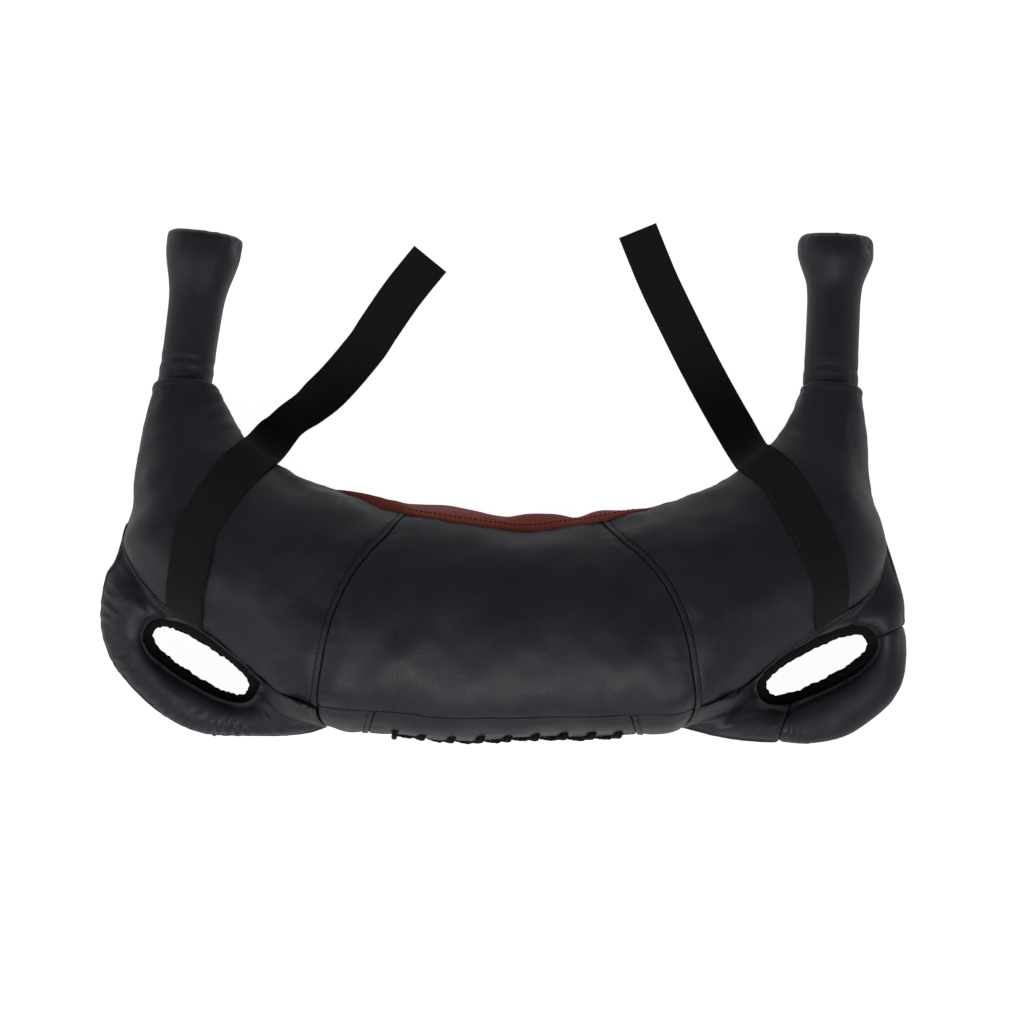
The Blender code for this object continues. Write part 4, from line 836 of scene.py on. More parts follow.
def crease_height(points, creases):
    """Depth of the listed creases at points seen from above."""
    total = np.zeros(points.shape[:-1])
    for start, end, width, depth in creases:
        start, end = np.array(from_photo(*start)), np.array(from_photo(*end))
        line = end - start
        length = np.linalg.norm(line)
        offset = points[..., :2] - start
        along = offset @ line / length ** 2
        across = (offset[..., 0] * line[1] - offset[..., 1] * line[0]) / length
        ends = fade((along + 0.2) / 0.4) * fade((1.2 - along) / 0.5)
        fold = -bell(across, width) + 0.55 * bell(across - 1.9 * width, width)
        total += depth * fold * ends
    return total


def seen_creases(points, normal):
    """The creases, where the skin looks upwards."""
    return crease_height(points, CREASES) * fade(normal[..., 2] / 0.4)


SWELLS = [
    # side, station, spread in stations, height
    ("left", 1.8, 0.36, 0.0024), ("right", 1.3, 0.50, 0.0030), ("right", 7.83, 0.16, 0.0028),
    ("left", 8.40, 0.17, -0.0022),
]
SWELL_DEGREES = 45


def swell(station, degrees):
    """Height of the places where the filling stands out at the outer edge."""
    total = np.zeros(np.broadcast(station, degrees).shape)
    for side, place, spread, height in SWELLS:
        total = total + height * bell(station - on_side(side, place), spread) * bell(degrees, SWELL_DEGREES)
    return total


ROOT_STATION, ROOT_REACH, ROOT_SHARE = 6.0, 0.9, 0.8
FLOOR_FACING, FLOOR_MARGIN = -0.6, 0.004


def sewn(places, styles, seed, facing=1):
    """Outer points and normals of a cover: the body's skin plus its seams, lumps and creases."""
    station, degrees = places[..., 0], places[..., 1]
    base, normal = skin(station, degrees)
    reach = distances(base)
    borders = [(border, style, seed * 10 + number) for number, (border, style) in enumerate(styles.items())]
    height = lumps(base) + border_height(reach, borders) + swell(station, degrees)
    if "over" in styles.values():
        place = from_mouth(station)
        at_root = fade((place - ROOT_STATION) / ROOT_REACH)
        tuck = seam_height(reach["bottom"], reach["left"], "over", seed * 10)
        along_corner = fade((place - CORNER_STATION) / 0.4) * (1 - at_root)
        height = height - ROOT_SHARE * tuck * at_root
        height = height + seam_height(reach["bottom"], 0.0, "groove", 0) * along_corner
    folds = settle(base, normal)
    if facing > 0:
        folds = folds + seen_creases(base, normal)
    height = height + folds * beside_straps(base)
    flat = fade(base[..., 2] / FLOOR_MARGIN)
    height = np.where(normal[..., 2] < FLOOR_FACING, np.minimum(height, 0) * flat - 0.0002, height)
    outer = base + normal * height[..., None]
    for side in SIDES:
        outer = outer + mouth_shift(base, side)
    outer[..., 2] = np.maximum(outer[..., 2], 0.0001)
    return outer, normal


def seam_angle(station):
    """Angle at which the front and back covers end above the outer edge."""
    place = from_mouth(station)
    lower = np.where(place <= ARC_STATION, table_value(CORNER_SEAM, place), table_value(STRIP_SEAM, place))
    return np.where(place <= CORNER_STATION, 0.0, lower)


PAD_EDGE = [(325, 488), (345, 493), (354, 496), (375, 504), (389, 510), (407, 517), (443, 525), (462, 528),
            (479, 530), (520, 531), (556, 529), (591, 526), (620, 520), (645, 512), (652, 510), (672, 502)]
PAD_ENDS = (5.1, 12.3)
PAD_SINK, PAD_SMOOTHING, PAD_TAPER = 0.0022, 60, 0.25


def front_pad_table():
    """Angle of the pad's front seam by station, found where the skin crosses the photograph's line."""
    line = np.array([from_photo(*spot) for spot in PAD_EDGE])
    station, angle = np.linspace(*PAD_ENDS, 75), np.linspace(0, 40, 321)
    spots, normal = skin(station[:, None], 180 - angle[None])
    spots = spots + normal * (lumps(spots) - PAD_SINK)[..., None]
    below = spots[..., 1] < np.interp(spots[..., 0], line[:, 0], line[:, 1])
    found = angle[np.argmax(below, axis=1)]
    for _ in range(PAD_SMOOTHING):
        found[1:-1] = (found[:-2] + 2 * found[1:-1] + found[2:]) / 4
    start, end = PAD_ENDS
    return station, found * fade((station - start) / PAD_TAPER) * fade((end - station) / PAD_TAPER)


FRONT_PAD = front_pad_table()
print("front seam of the pad, degrees:", np.round(FRONT_PAD[1][::6], 1))


def pad_angle(station, facing=1):
    """Half angle that the neck pad covers, on the front or the back."""
    if facing > 0:
        return np.interp(station, *FRONT_PAD, left=0, right=0)
    return table_value(PAD_SEAM, from_mouth(station))


def between(first, share):
    """Station from one given place to its mirror image."""
    return first + (LAST - 2 * first) * share


def arc_edge(side, share, facing):
    """Place on the arc seam, from the bottom strip to the neck pad."""
    low = table_value(STRIP_SEAM, ARC_STATION)
    high = 180 - pad_angle(on_side(side, ARC_STATION), facing)
    degrees = low + (high - low) * share
    at_end = table_value(ARC_SEAM, (high - low) / (180 - low))
    bow = table_value(ARC_SEAM, (degrees - low) / (180 - low)) - share * at_end
    return pair(on_side(side, ARC_STATION - ARC_BOW * bow), degrees)


def side_places(side, columns, rows, facing):
    """Grid of a side panel from the horn's mouth to the arc seam."""
    def bottom(share):
        station = on_side(side, ARC_STATION * share)
        return pair(station, seam_angle(station))

    def top(share):
        station = on_side(side, ARC_STATION * share)
        return pair(station, 180 - pad_angle(station, facing))

    def mouth(share):
        return pair(on_side(side, 0.0), 180 * share)

    return patch(bottom, top, mouth, lambda share: arc_edge(side, share, facing), columns, rows)


def centre_places(columns, rows, facing):
    """Grid of the centre panel."""
    def bottom(share):
        station = between(ARC_STATION, share)
        return pair(station, table_value(STRIP_SEAM, from_mouth(station)))

    def top(share):
        station = between(ARC_STATION, share)
        return pair(station, 180 - pad_angle(station, facing))

    left, right = (lambda share, side=side: arc_edge(side, share, facing) for side in SIDES)
    return patch(bottom, top, left, right, columns, rows)


# %% Sew the six panels
seam_lines = []
TUCK_LENGTH, TUCK_DEPTH = 0.0036, 0.0028
SIDE_PANEL, CENTRE_PANEL = (0.34, 0.22), (0.32, 0.19)
FRONT_CELL, BACK_CELL = 0.0020, 0.0028
ARC_STITCHES, STRIP_STITCHES = 0.0057, 0.0018


def with_allowance(places, outer, normal):
    """Side panel with its seam allowance, which runs on under the corner leaf."""
    station, degrees = places[0].T
    step = body(station, degrees + DEGREE_STEP) - body(station, degrees - DEGREE_STEP)
    step = np.linalg.norm(step, axis=-1)
    turn = TUCK_LENGTH / step * fade((from_mouth(station) - CORNER_STATION) / 0.5)
    rows, leans = [], []
    for share in (1.0, 0.66, 0.33):
        angle = degrees - np.sign(degrees + 1e-9) * turn * share
        leans.append(body_normal(station, angle))
        rows.append(body(station, angle) - leans[-1] * TUCK_DEPTH)
    return np.concatenate([np.array(rows), outer]), np.concatenate([np.array(leans), normal])


def line_at(outer, normal, border, distance, lift=0.0001):
    """Points of a stitch line that runs inside a border at a distance."""
    reach = distances(outer)[border]
    lines = []
    count = outer.shape[1] if border in ("bottom", "top") else outer.shape[0]
    for number in range(count):
        column = (slice(None), number) if border in ("bottom", "top") else (number, slice(None))
        order = np.argsort(reach[column])
        away = reach[column][order]
        spot = [np.interp(distance, away, outer[column][order][:, axis]) for axis in range(3)]
        lean = [np.interp(distance, away, normal[column][order][:, axis]) for axis in range(3)]
        lines.append(np.maximum(np.array(spot) + np.array(lean) * lift, (-9, -9, 0.0006)))
    return np.array(lines)


for facing, leaf in LEAVES:
    coarse = FRONT_CELL if facing > 0 else BACK_CELL
    for number, side in enumerate(SIDES):
        columns, rows = (steps(length, coarse=coarse) for length in SIDE_PANEL)
        places = side_places(side, columns, rows, facing)
        places[..., 1] *= facing
        styles = {"bottom": "over", "top": "edge", "left": "hem", "right": "folded"}
        outer, normal = sewn(places, styles, 11 + number + 5 * facing, facing)
        sheet, leans = with_allowance(places, outer, normal)
        leather_cover(f"{side}_{leaf}_cover", sheet, leans, f"{leaf}_{side}_panel")
        seam_lines.append(line_at(outer, normal, "right", ARC_STITCHES)[6:-6])
    columns, rows = (steps(length, coarse=coarse) for length in CENTRE_PANEL)
    places = centre_places(columns, rows, facing)
    places[..., 1] *= facing
    styles = {"bottom": "tucked", "top": "edge", "left": "tucked", "right": "tucked"}
    outer, normal = sewn(places, styles, 31 + facing, facing)
    leather_cover(f"centre_{leaf}_cover", outer, normal, f"{leaf}_centre_panel")
    seam_lines.append(line_at(outer, normal, "bottom", STRIP_STITCHES)[4:-4])

# %% [markdown]
# ## Lower corners with their hand loops
# Each lower corner is a pair of leaves round a slot for the hand: one leaf in front, one behind, sewn
# to the body along the corner seam and to each other along the outer edge, over a padded roll. The
# solids' rule for it is repeated here with few points, and a smooth grid is drawn through them. The
# left corner is gathered: its pleats run from the edge towards the slot. The right one has two deep
# cross seams and stays smoother between them.

# %% Corner rule
HOLE_HALF_LENGTH, HOLE_HALF_WIDTH, HOLE_POWER = 0.0550, 0.0215, 2.5
RIM_HEIGHT, RIM_TILT_RISE, TAPE_RISE, TAPE_BAND = 0.046, 0.008, 0.010, 0.0075
LOOP_HEIGHT, LOOP_BULGE, LEAST_BULGE = 0.038, 0.018, 0.003
HOLE_CENTRE = {"left": (-0.758, -0.087), "right": (0.777, -0.099)}
HOLE_TILT = {"left": math.radians(-32.4), "right": math.radians(26.8)}
FOLLOW = 0.45
SILHOUETTE = {
    "left": [
        (-0.490, -0.286), (-0.559, -0.294), (-0.646, -0.294), (-0.728, -0.291), (-0.800, -0.269),
        (-0.870, -0.224), (-0.929, -0.162), (-0.977, -0.090), (-1.002, -0.006), (-1.004, 0.078),
        (-0.992, 0.154), (-0.969, 0.202),
    ],
    "right": [
        (0.519, -0.294), (0.589, -0.308), (0.681, -0.316), (0.764, -0.321), (0.849, -0.301),
        (0.916, -0.254), (0.970, -0.197), (0.998, -0.120), (1.002, -0.032), (0.996, 0.012),
        (0.988, 0.090), (0.972, 0.168),
    ],
}
# A leaf's columns run along the corner seam, down the strip's end and round the outline
SEAM_COLUMNS, STRIP_COLUMNS, OUTLINE_COLUMNS = 10, 3, 13
OUTLINE_START, CORNER_COLUMNS = 13, 26
LOOP_SEAMS = (16, 23)


def rim(side, angle, grow, rise):
    """Points of the slot's rim, grown outward in plan and raised from its middle."""
    tilt = HOLE_TILT[side]
    along = (HOLE_HALF_LENGTH + grow) * rounded(np.cos(angle), HOLE_POWER)
    across = (HOLE_HALF_WIDTH + grow) * rounded(np.sin(angle), HOLE_POWER)
    x = HOLE_CENTRE[side][0] * HALF_WIDTH + along * math.cos(tilt) - across * math.sin(tilt)
    y = HOLE_CENTRE[side][1] * HEIGHT + along * math.sin(tilt) + across * math.cos(tilt)
    z = RIM_HEIGHT + RIM_TILT_RISE * across / HOLE_HALF_WIDTH + rise
    return np.stack(np.broadcast_arrays(x, y, z), -1)


def silhouette(side, row):
    """Points of the corner's outline, from the strip round to the shoulder."""
    start = body(on_side(side, ARC_STATION + STRIP_SHIFT), 0.0)
    end = body(on_side(side, CORNER_STATION), 0.0)
    rows = np.array([start[:2], *[(a * HALF_WIDTH, b * HEIGHT) for a, b in SILHOUETTE[side]], end[:2]])
    share = np.asarray(row) / (len(rows) - 1)
    height = LOOP_HEIGHT + (start[2] - LOOP_HEIGHT) * (1 - fade(share / 0.4))
    height = height + (end[2] - LOOP_HEIGHT) * fade((share - 0.6) / 0.4)
    return np.concatenate([row_at(rows, row), height[..., None]], -1)


def edge_points(side, leaf, positions):
    """Outer edge of a leaf: along the corner seam, down the strip's end and round the outline."""
    place = positions % CORNER_COLUMNS
    low = float(table_value(STRIP_SEAM, ARC_STATION))
    station = CORNER_STATION + np.minimum(place, SEAM_COLUMNS) / 2
    seam = body(on_side(side, station), leaf * table_value(CORNER_SEAM, station))
    share = np.clip((place - SEAM_COLUMNS) / STRIP_COLUMNS, 0, 1)
    strip = body(on_side(side, ARC_STATION + STRIP_SHIFT * share), leaf * low * (1 - share))
    outline = silhouette(side, np.clip(place - OUTLINE_START, 0, OUTLINE_COLUMNS))
    inner = np.where((place <= OUTLINE_START)[:, None], strip, outline)
    return np.where((place <= SEAM_COLUMNS)[:, None], seam, inner)


def evened(values, passes):
    """Closed row of numbers averaged with its neighbours."""
    for _ in range(passes):
        values = (np.roll(values, 1) + 2 * values + np.roll(values, -1)) / 4
    return values


def corner_columns(side):
    """Rim angle of the first column, the full turn, and each column's drift and share of the body."""
    tilt = HOLE_TILT[side]
    across_hole, along_hole = HOLE_CENTRE[side]
    edge = edge_points(side, 1, np.arange(CORNER_COLUMNS))[:, :2]
    offset = edge - (across_hole * HALF_WIDTH, along_hole * HEIGHT)
    along = offset[:, 0] * math.cos(tilt) + offset[:, 1] * math.sin(tilt)
    across = -offset[:, 0] * math.sin(tilt) + offset[:, 1] * math.cos(tilt)
    angles = np.unwrap(np.arctan2(across, along * FOLLOW))
    turn = math.copysign(math.tau, angles[-1] - angles[0])
    drift = angles - angles[0] - turn * np.arange(CORNER_COLUMNS) / CORNER_COLUMNS
    weight = np.repeat([1.0, 0.5, 0.0], [SEAM_COLUMNS, STRIP_COLUMNS, OUTLINE_COLUMNS])
    return angles[0], turn, evened(drift, 3), evened(weight, 2)


def around(values, positions):
    """Smooth value of a closed row at fractional positions."""
    index = np.floor(positions).astype(int)
    before, start, end, after = (values[(index + step) % len(values)] for step in (-1, 0, 1, 2))
    return cubic(start, end, (end - before) / 2, (after - start) / 2, positions - index)


def leaf_points(side, leaf, positions, rows):
    """Grid of a corner leaf from the slot's rim (row 0) out to its edge."""
    first_angle, turn, drift, weight = corner_columns(side)
    angle = first_angle + turn * positions / CORNER_COLUMNS + around(drift, positions)
    weight = around(weight, positions)
    edge = edge_points(side, leaf, positions)
    start = rim(side, angle, 0.0, leaf * TAPE_RISE)
    limit = np.radians(180 - 90 * weight)
    bulge = np.maximum(leaf * (edge[:, 2] - start[:, 2]), LEAST_BULGE)
    bulge = LOOP_BULGE + (bulge - LOOP_BULGE) * weight
    turned = limit[None] * rows[:, None]
    share = (1 - np.cos(turned)) / (1 - np.cos(limit))[None]
    points = start[None] + (edge - start)[None] * share[..., None]
    points[..., 2] += leaf * bulge[None] * (np.sin(turned) - np.sin(limit)[None] * share)
    return points


# %% [markdown]
# The pleats are waves along the leaf's edge. Their height has its own envelope, so the left loop is
# gathered most where the photograph shows it, at its lowest point, and the fold lines fan out from
# the slot because the grid's columns do. Two puffs fill the leaf beside its ends on the body.

# %% Sew the corner leaves
# column, spread in columns, height
PUFFS = [(0.0, 2.6, 0.0080), (12.6, 2.0, 0.0065)]
LEAF_WIDTH, LEAF_ROOT, LEAF_ROOT_SPREAD = 0.075, 9.6, 1.3
LOOP_LENGTH, RIGHT_CORNER_LENGTH, LEAF_CELL = 0.17, 0.33, 0.0022
FAN_PLACE, FAN_WIDTH = 0.0125, 0.010
LEFT_STEP, SEWN_COLUMNS = 0.05, 9.8
PLEATS = {
    # place along the outline in columns, spread, height, length of a wave in metres
    "left": [(16.8, 0.80, 0.0012, 0.0085), (18.6, 1.2, 0.0011, 0.0105), (20.8, 1.3, 0.0007, 0.013),
             (22.9, 1.1, 0.0007, 0.011), (24.6, 0.8, 0.0006, 0.013)],
    "right": [(12.8, 0.9, 0.0006, 0.010), (14.6, 0.8, 0.0005, 0.011), (16.6, 0.5, 0.0007, 0.007),
              (23.4, 0.5, 0.0005, 0.008), (10.2, 0.8, 0.0003, 0.010)],
}


def from_column(positions, column):
    """Signed distance from a column, the shorter way round."""
    return (positions - column + CORNER_COLUMNS / 2) % CORNER_COLUMNS - CORNER_COLUMNS / 2


def pleats(side, positions, along, seed):
    """Height of the gathers along the leaf's edge."""
    total = np.zeros_like(positions)
    for number, (place, spread, height, length) in enumerate(PLEATS[side]):
        near = bell(from_column(positions, place), spread)
        total += height * near * waves(along, seed + 3 * number, (length,), (1.0,))
    return total


def sew_leaf(name, side, leaf, positions, style, seed, closed=False):
    """Leather leaf of a corner, from the slot's rim to its edge. Returns its outer grid and normals."""
    rows = steps(LEAF_WIDTH, fine=0.0008, coarse=0.0020, margin=0.006)
    base = leaf_points(side, leaf, positions, rows)
    normal = grid_normals(base, closed)
    if np.sum(normal[..., 2]) * leaf < 0:
        normal = -normal
    reach = distances(base)
    run = reach["left"][-1][None]
    at_root = 1 - 0.7 * bell(positions % CORNER_COLUMNS - LEAF_ROOT, LEAF_ROOT_SPREAD)[None]
    height = lumps(base) * fade(reach["top"] / 0.01)
    height = height + seam_height(reach["top"], run, style, seed) * at_root
    height = height + seam_height(reach["bottom"], run, "bound", seed + 1)
    height = height + settle(base, normal, 0.04, 1.0, 0.0009, closed)
    if leaf > 0:
        height = height + seen_creases(base, normal)
    span = reach["bottom"] / (reach["bottom"] + reach["top"])
    for place, spread, puff in PUFFS:
        height = height + puff * np.sin(np.pi * span) * bell(from_column(positions, place), spread)[None]
    fan = bell(reach["top"] - FAN_PLACE, FAN_WIDTH) * (0.25 + 0.75 * fade(reach["top"] / 0.008))
    fan = fan + 0.1 * np.exp(-reach["bottom"] / 0.014)
    height = height + pleats(side, positions, run[0], seed + 2)[None] * fan
    if not closed:
        room = 0.3 + 0.7 * fade(reach["bottom"] / 0.010)
        for number, border in ((3, "left"), (4, "right")):
            height = height + seam_height(reach[border], reach["bottom"], "pulled", seed + number) * room
    outer = base + normal * height[..., None]
    outer[..., 2] = np.maximum(outer[..., 2], 0.0002)
    node = name.removesuffix("_cover")
    leather_cover(name, outer, normal, node, closed=closed)
    return outer, normal


first, last = LOOP_SEAMS
for side in SIDES:
    for leaf, word in LEAVES:
        seed = 60 + 7 * leaf
        if side == "left":
            positions = np.arange(0, CORNER_COLUMNS, LEFT_STEP)
            outer, normal = sew_leaf(f"left_corner_{word}_cover", side, leaf, positions, "welt", seed, True)
        else:
            positions = first + (last - first) * steps(LOOP_LENGTH, coarse=LEAF_CELL)
            sew_leaf(f"right_loop_{word}_cover", side, leaf, positions, "over", seed + 20)
            rest = first + CORNER_COLUMNS - last
            positions = last + rest * steps(RIGHT_CORNER_LENGTH, coarse=LEAF_CELL)
            outer, normal = sew_leaf(f"right_corner_{word}_cover", side, leaf, positions, "welt", seed + 29)
        sewn_edge = np.where(positions % CORNER_COLUMNS <= SEWN_COLUMNS)[0]
        seam_lines.append(line_at(outer, normal, "top", ARC_STITCHES)[sewn_edge][4:-4])

# %% [markdown]
# ## Tape round the hand slots
# A wide ribbed elastic tape lines each slot, from the front leaf's rim to the back leaf's. It is
# swept round the rim as a closed band with two soft ribs, and its inner edge is a little wavy because
# elastic gathers when it is sewn round a tight curve.

# %% Ribbed tape bands
TAPE_STAND, RIB_HEIGHT, RIB_SPACING, TAPE_UNDER, TAPE_WIDTH = 0.0006, 0.0010, 0.46, 0.0016, 0.03

for number, side in enumerate(SIDES):
    angle = np.linspace(0, math.tau, 240, endpoint=False)
    profile = np.linspace(-1, 1, 33)
    run = run_along(rim(side, angle, 0.0, 0.0))
    gather = waves(run, 90 + number, (0.0055, 0.010, 0.021), (0.00022, 0.00030, 0.00035))
    bands, backing = [], []
    for share in profile:
        ribs = RIB_HEIGHT * abs(math.sin(share * math.pi / RIB_SPACING)) ** 0.8
        inward = (TAPE_BAND + TAPE_STAND) * (1 - share * share) + ribs + gather * (1 - share ** 4)
        bands.append(rim(side, angle, -inward + 0.0002, (TAPE_RISE + TAPE_STAND) * share))
        backing.append(rim(side, angle, TAPE_UNDER - TAPE_BAND * (1 - share ** 2), TAPE_RISE * share))
    faces = shell_faces(len(profile), len(angle), closed_columns=True)
    across = np.linspace(0, TAPE_WIDTH, len(profile))
    uv = np.stack(np.broadcast_arrays(run[None], across[:, None]), -1)
    piece = make_piece(f"{side}_slot_tape", [bands, backing], faces, tape, [uv, uv])
    dress(piece, "bag", "black_ribbed_tape", f"{side}_hole_binding")

# %% [markdown]
# ## Neck pad
# A padded strip of brown leather lies along the inner edge, where the bag rests on the neck. It rises
# to a crown between its two seams, and the padding has shifted into soft lumps, which shows as a wavy
# edge from above.

# %% Padded neck strip
PAD_LENGTH, PAD_WIDTH, PAD_CELL = 0.30, 0.075, 0.0018
PAD_HEIGHT, PAD_WALL, PAD_STITCHED_DEGREES = 0.0075, 0.0014, 9.5
PAD_DIPS = [
    # place along the pad, spread and depth, in metres
    (-0.0848, 0.012, 0.0012), (0.004, 0.022, 0.0003), (0.061, 0.013, 0.0031), (-0.045, 0.022, -0.0005),
    (0.108, 0.022, 0.0034), (0.124, 0.009, 0.0030), (0.143, 0.012, 0.0022),
]
columns = steps(PAD_LENGTH, coarse=PAD_CELL)
rows = steps(PAD_WIDTH, fine=0.0007, coarse=PAD_CELL)
station = PAD_ENDS[0] + (PAD_ENDS[1] - PAD_ENDS[0]) * columns
share = 2 * rows[:, None] - 1
front, back = (np.maximum(pad_angle(station, facing), 0.25) for facing in (1, -1))
degrees = 180 + np.where(share < 0, front[None], back[None]) * share
station = np.broadcast_to(station[None], degrees.shape)
base, normal = skin(station, degrees)
reach = distances(base)
crown = np.maximum(1 - share ** 2, 0) ** 0.7
rise = PAD_HEIGHT * table_value(PAD_RISE, from_mouth(station)) * crown
for place, spread, depth in PAD_DIPS:
    rise = rise - depth * bell(base[..., 0] - place, spread) * crown
height = rise + lumps(base) * (1 - crown) + lumps(base, 9, (0.05, 0.022), (0.00035, 0.00015)) * crown
room = fade((reach["bottom"] + reach["top"]) / 0.022)
height = height + border_height(reach, [("bottom", "welt", 71), ("top", "welt", 72)]) * room
height = height + settle(base + normal * rise[..., None], normal, 0.05, 2.0, 0.0012) * crown
outer = base + normal * height[..., None]
pad = shell_piece("neck_pad", outer, normal, PAD_WALL, brown_leather)
dress(pad, "bag", "brown_pu_leather", "neck_pad_cover", "neck_pad_foam")
for border, half_angle in (("bottom", front), ("top", back)):
    seam_lines.append(line_at(outer, normal, border, ARC_STITCHES)[half_angle > PAD_STITCHED_DEGREES])

# %% [markdown]
# ## Bottom strip and its laced slit
# Under the centre panel runs a strip that closes the bag. Its two ends are plain, and the middle is
# split into two lips with a row of lace holes each. The holes are cut by cylinders, as they are
# punched in the real leather.

# %% Bottom strip ends
STRIP_END, STRIP_CELL = (0.05, 0.12), 0.0018


def strip_places(side, columns, rows):
    """Grid of a strip end, from the corner leaf to the cross seam."""
    low = float(table_value(STRIP_SEAM, ARC_STATION))
    far_station = on_side(side, CROSS_STATION)
    far_low = float(table_value(STRIP_SEAM, CROSS_STATION))

    def near(share):
        station = on_side(side, ARC_STATION + STRIP_SHIFT * (1 - np.abs(2 * share - 1)))
        return pair(station, -low + 2 * low * share)

    def far(share):
        return pair(far_station, -far_low + 2 * far_low * share)

    def edge(sign):
        def line(share):
            station = on_side(side, ARC_STATION + (CROSS_STATION - ARC_STATION) * share)
            return pair(station, sign * table_value(STRIP_SEAM, from_mouth(station)))
        return line

    return patch(edge(-1), edge(1), near, far, columns, rows)


for number, side in enumerate(SIDES):
    places = strip_places(side, *(steps(length, coarse=STRIP_CELL) for length in STRIP_END))
    styles = {"bottom": "tucked", "top": "tucked", "left": "tucked", "right": "folded"}
    outer, normal = sewn(places, styles, 81 + number, 0)
    leather_cover(f"{side}_strip_cover", outer, normal, f"bottom_strip_{side}")
    seam_lines.append(line_at(outer, normal, "right", ARC_STITCHES)[8:-8])

# %% Laced lips and the tongue behind them
LIP_WALL, SLIT_HALF, HOLE_OFFSET, HOLE_RADIUS = 0.0026, 0.0080, 0.0270, 0.0033
LACE_RADIUS, LACE_GAP, LACE_PITCH, LACE_HOLES, LACE_SHIFT = 0.0018, 0.0007, 0.0225, 9, 0.0036
TONGUE_HALF, TONGUE_WALL, PUNCH_DEPTH = 0.026, 0.0014, 0.014
DENT_DEPTH, DENT_START, DENT_WIDTH = 0.0010, 0.002, 0.0045
LIP_LENGTH, LIP_WIDTH, LIP_CELL = 0.225, 0.05, 0.0016


def lace_station(number):
    """Station of a lace hole, counted from the left; fractions lie between two holes."""
    reach = np.linalg.norm(body(MIDDLE + STATION_STEP, 0.0) - body(MIDDLE, 0.0))
    return MIDDLE + ((number - (LACE_HOLES - 1) / 2) * LACE_PITCH + LACE_SHIFT) * STATION_STEP / reach


def punch(piece, leaf):
    """Cut the row of lace holes through a lip."""
    cutters = bmesh.new()
    for number in range(LACE_HOLES):
        station = lace_station(number)
        degrees = leaf * edge_degrees(station, HOLE_OFFSET)
        centre = body(station, degrees, LIP_WALL / 2)
        turn = Vector(body_normal(station, degrees)).to_track_quat("Z", "Y").to_matrix().to_4x4()
        bmesh.ops.create_cone(cutters, cap_ends=True, segments=20, radius1=HOLE_RADIUS, radius2=HOLE_RADIUS,
                              depth=PUNCH_DEPTH, matrix=Matrix.Translation(centre) @ turn)
    mesh = bpy.data.meshes.new("punches")
    cutters.to_mesh(mesh)
    cutters.free()
    punches = new_object("punches", mesh)
    cut = piece.modifiers.new("holes", "BOOLEAN")
    cut.operation, cut.solver, cut.object = "DIFFERENCE", "EXACT", punches
    graph = bpy.context.evaluated_depsgraph_get()
    result = bpy.data.meshes.new_from_object(piece.evaluated_get(graph))
    piece.modifiers.remove(cut)
    old = piece.data
    piece.data = result
    bpy.data.meshes.remove(old)
    bpy.data.objects.remove(punches, do_unlink=True)


for leaf, word in LEAVES:
    columns = steps(LIP_LENGTH, coarse=LIP_CELL)
    rows = steps(LIP_WIDTH, coarse=LIP_CELL, margin=0.006)
    station = between(CROSS_STATION, columns)
    low = edge_degrees(station, SLIT_HALF)
    high = table_value(STRIP_SEAM, from_mouth(station))
    degrees = leaf * (low[None] + (high - low)[None] * rows[:, None])
    base, normal = skin(station, degrees)
    borders = [("bottom", "slit", 21 + leaf), ("top", "tucked", 28 + leaf), ("left", "tucked", 35 + leaf),
               ("right", "tucked", 42 + leaf)]
    height = lumps(base) + swell(station, degrees) + border_height(distances(base), borders)
    for number in range(LACE_HOLES):
        hole = body(lace_station(number), leaf * edge_degrees(lace_station(number), HOLE_OFFSET))
        away = np.linalg.norm(base - hole, axis=-1)
        height = height - DENT_DEPTH * bell(away - DENT_START, DENT_WIDTH)
    outer = base + normal * height[..., None]
    piece = shell_piece(f"{word}_lip", outer, normal, LIP_WALL - 0.0006, black_leather)
    punch(piece, leaf)
    dress(piece, "bag", "black_pu_leather", f"lacing_lip_{word}")
    seam_lines.append(line_at(outer, normal, "bottom", ARC_STITCHES)[6:-6])

station = between(CROSS_STATION, np.linspace(0, 1, 90))
degrees = edge_degrees(station, TONGUE_HALF)[None] * np.linspace(-1, 1, 24)[:, None]
station = np.broadcast_to(station[None], degrees.shape)
surface, normal = skin(station, degrees)
height = lumps(surface) + swell(station, degrees)
outer = body(station, degrees, LIP_WALL + 2 * LACE_RADIUS + 3 * LACE_GAP) + normal * height[..., None]
leather_cover("tongue", outer, normal, "lacing_tongue", wall=TONGUE_WALL)

# %% [markdown]
# ## The lace
# One braided cord starts as a bar across the first pair of holes, and its two halves criss-cross to
# the other end, each going down through a hole, back out of the slit and over to the other lip. The
# route is a list of points on and under the lips, smoothed, and a tube of three twisted strands is
# swept along it.

# %% Criss-cross cord
CORD_RADIUS, CORD_SIDES, STRAND_RELIEF, STRAND_TWIST = LACE_RADIUS + 0.0005, 18, 0.11, 0.0048


def lace_point(station, offset, lift):
    """Point over or under the lips, at an offset from the slit's middle."""
    degrees = math.copysign(float(edge_degrees(station, abs(offset))), offset) if offset else 0.0
    spot, normal = skin(station, degrees)
    return spot + normal * (lift + 0.7 * lumps(spot) + swell(station, degrees))


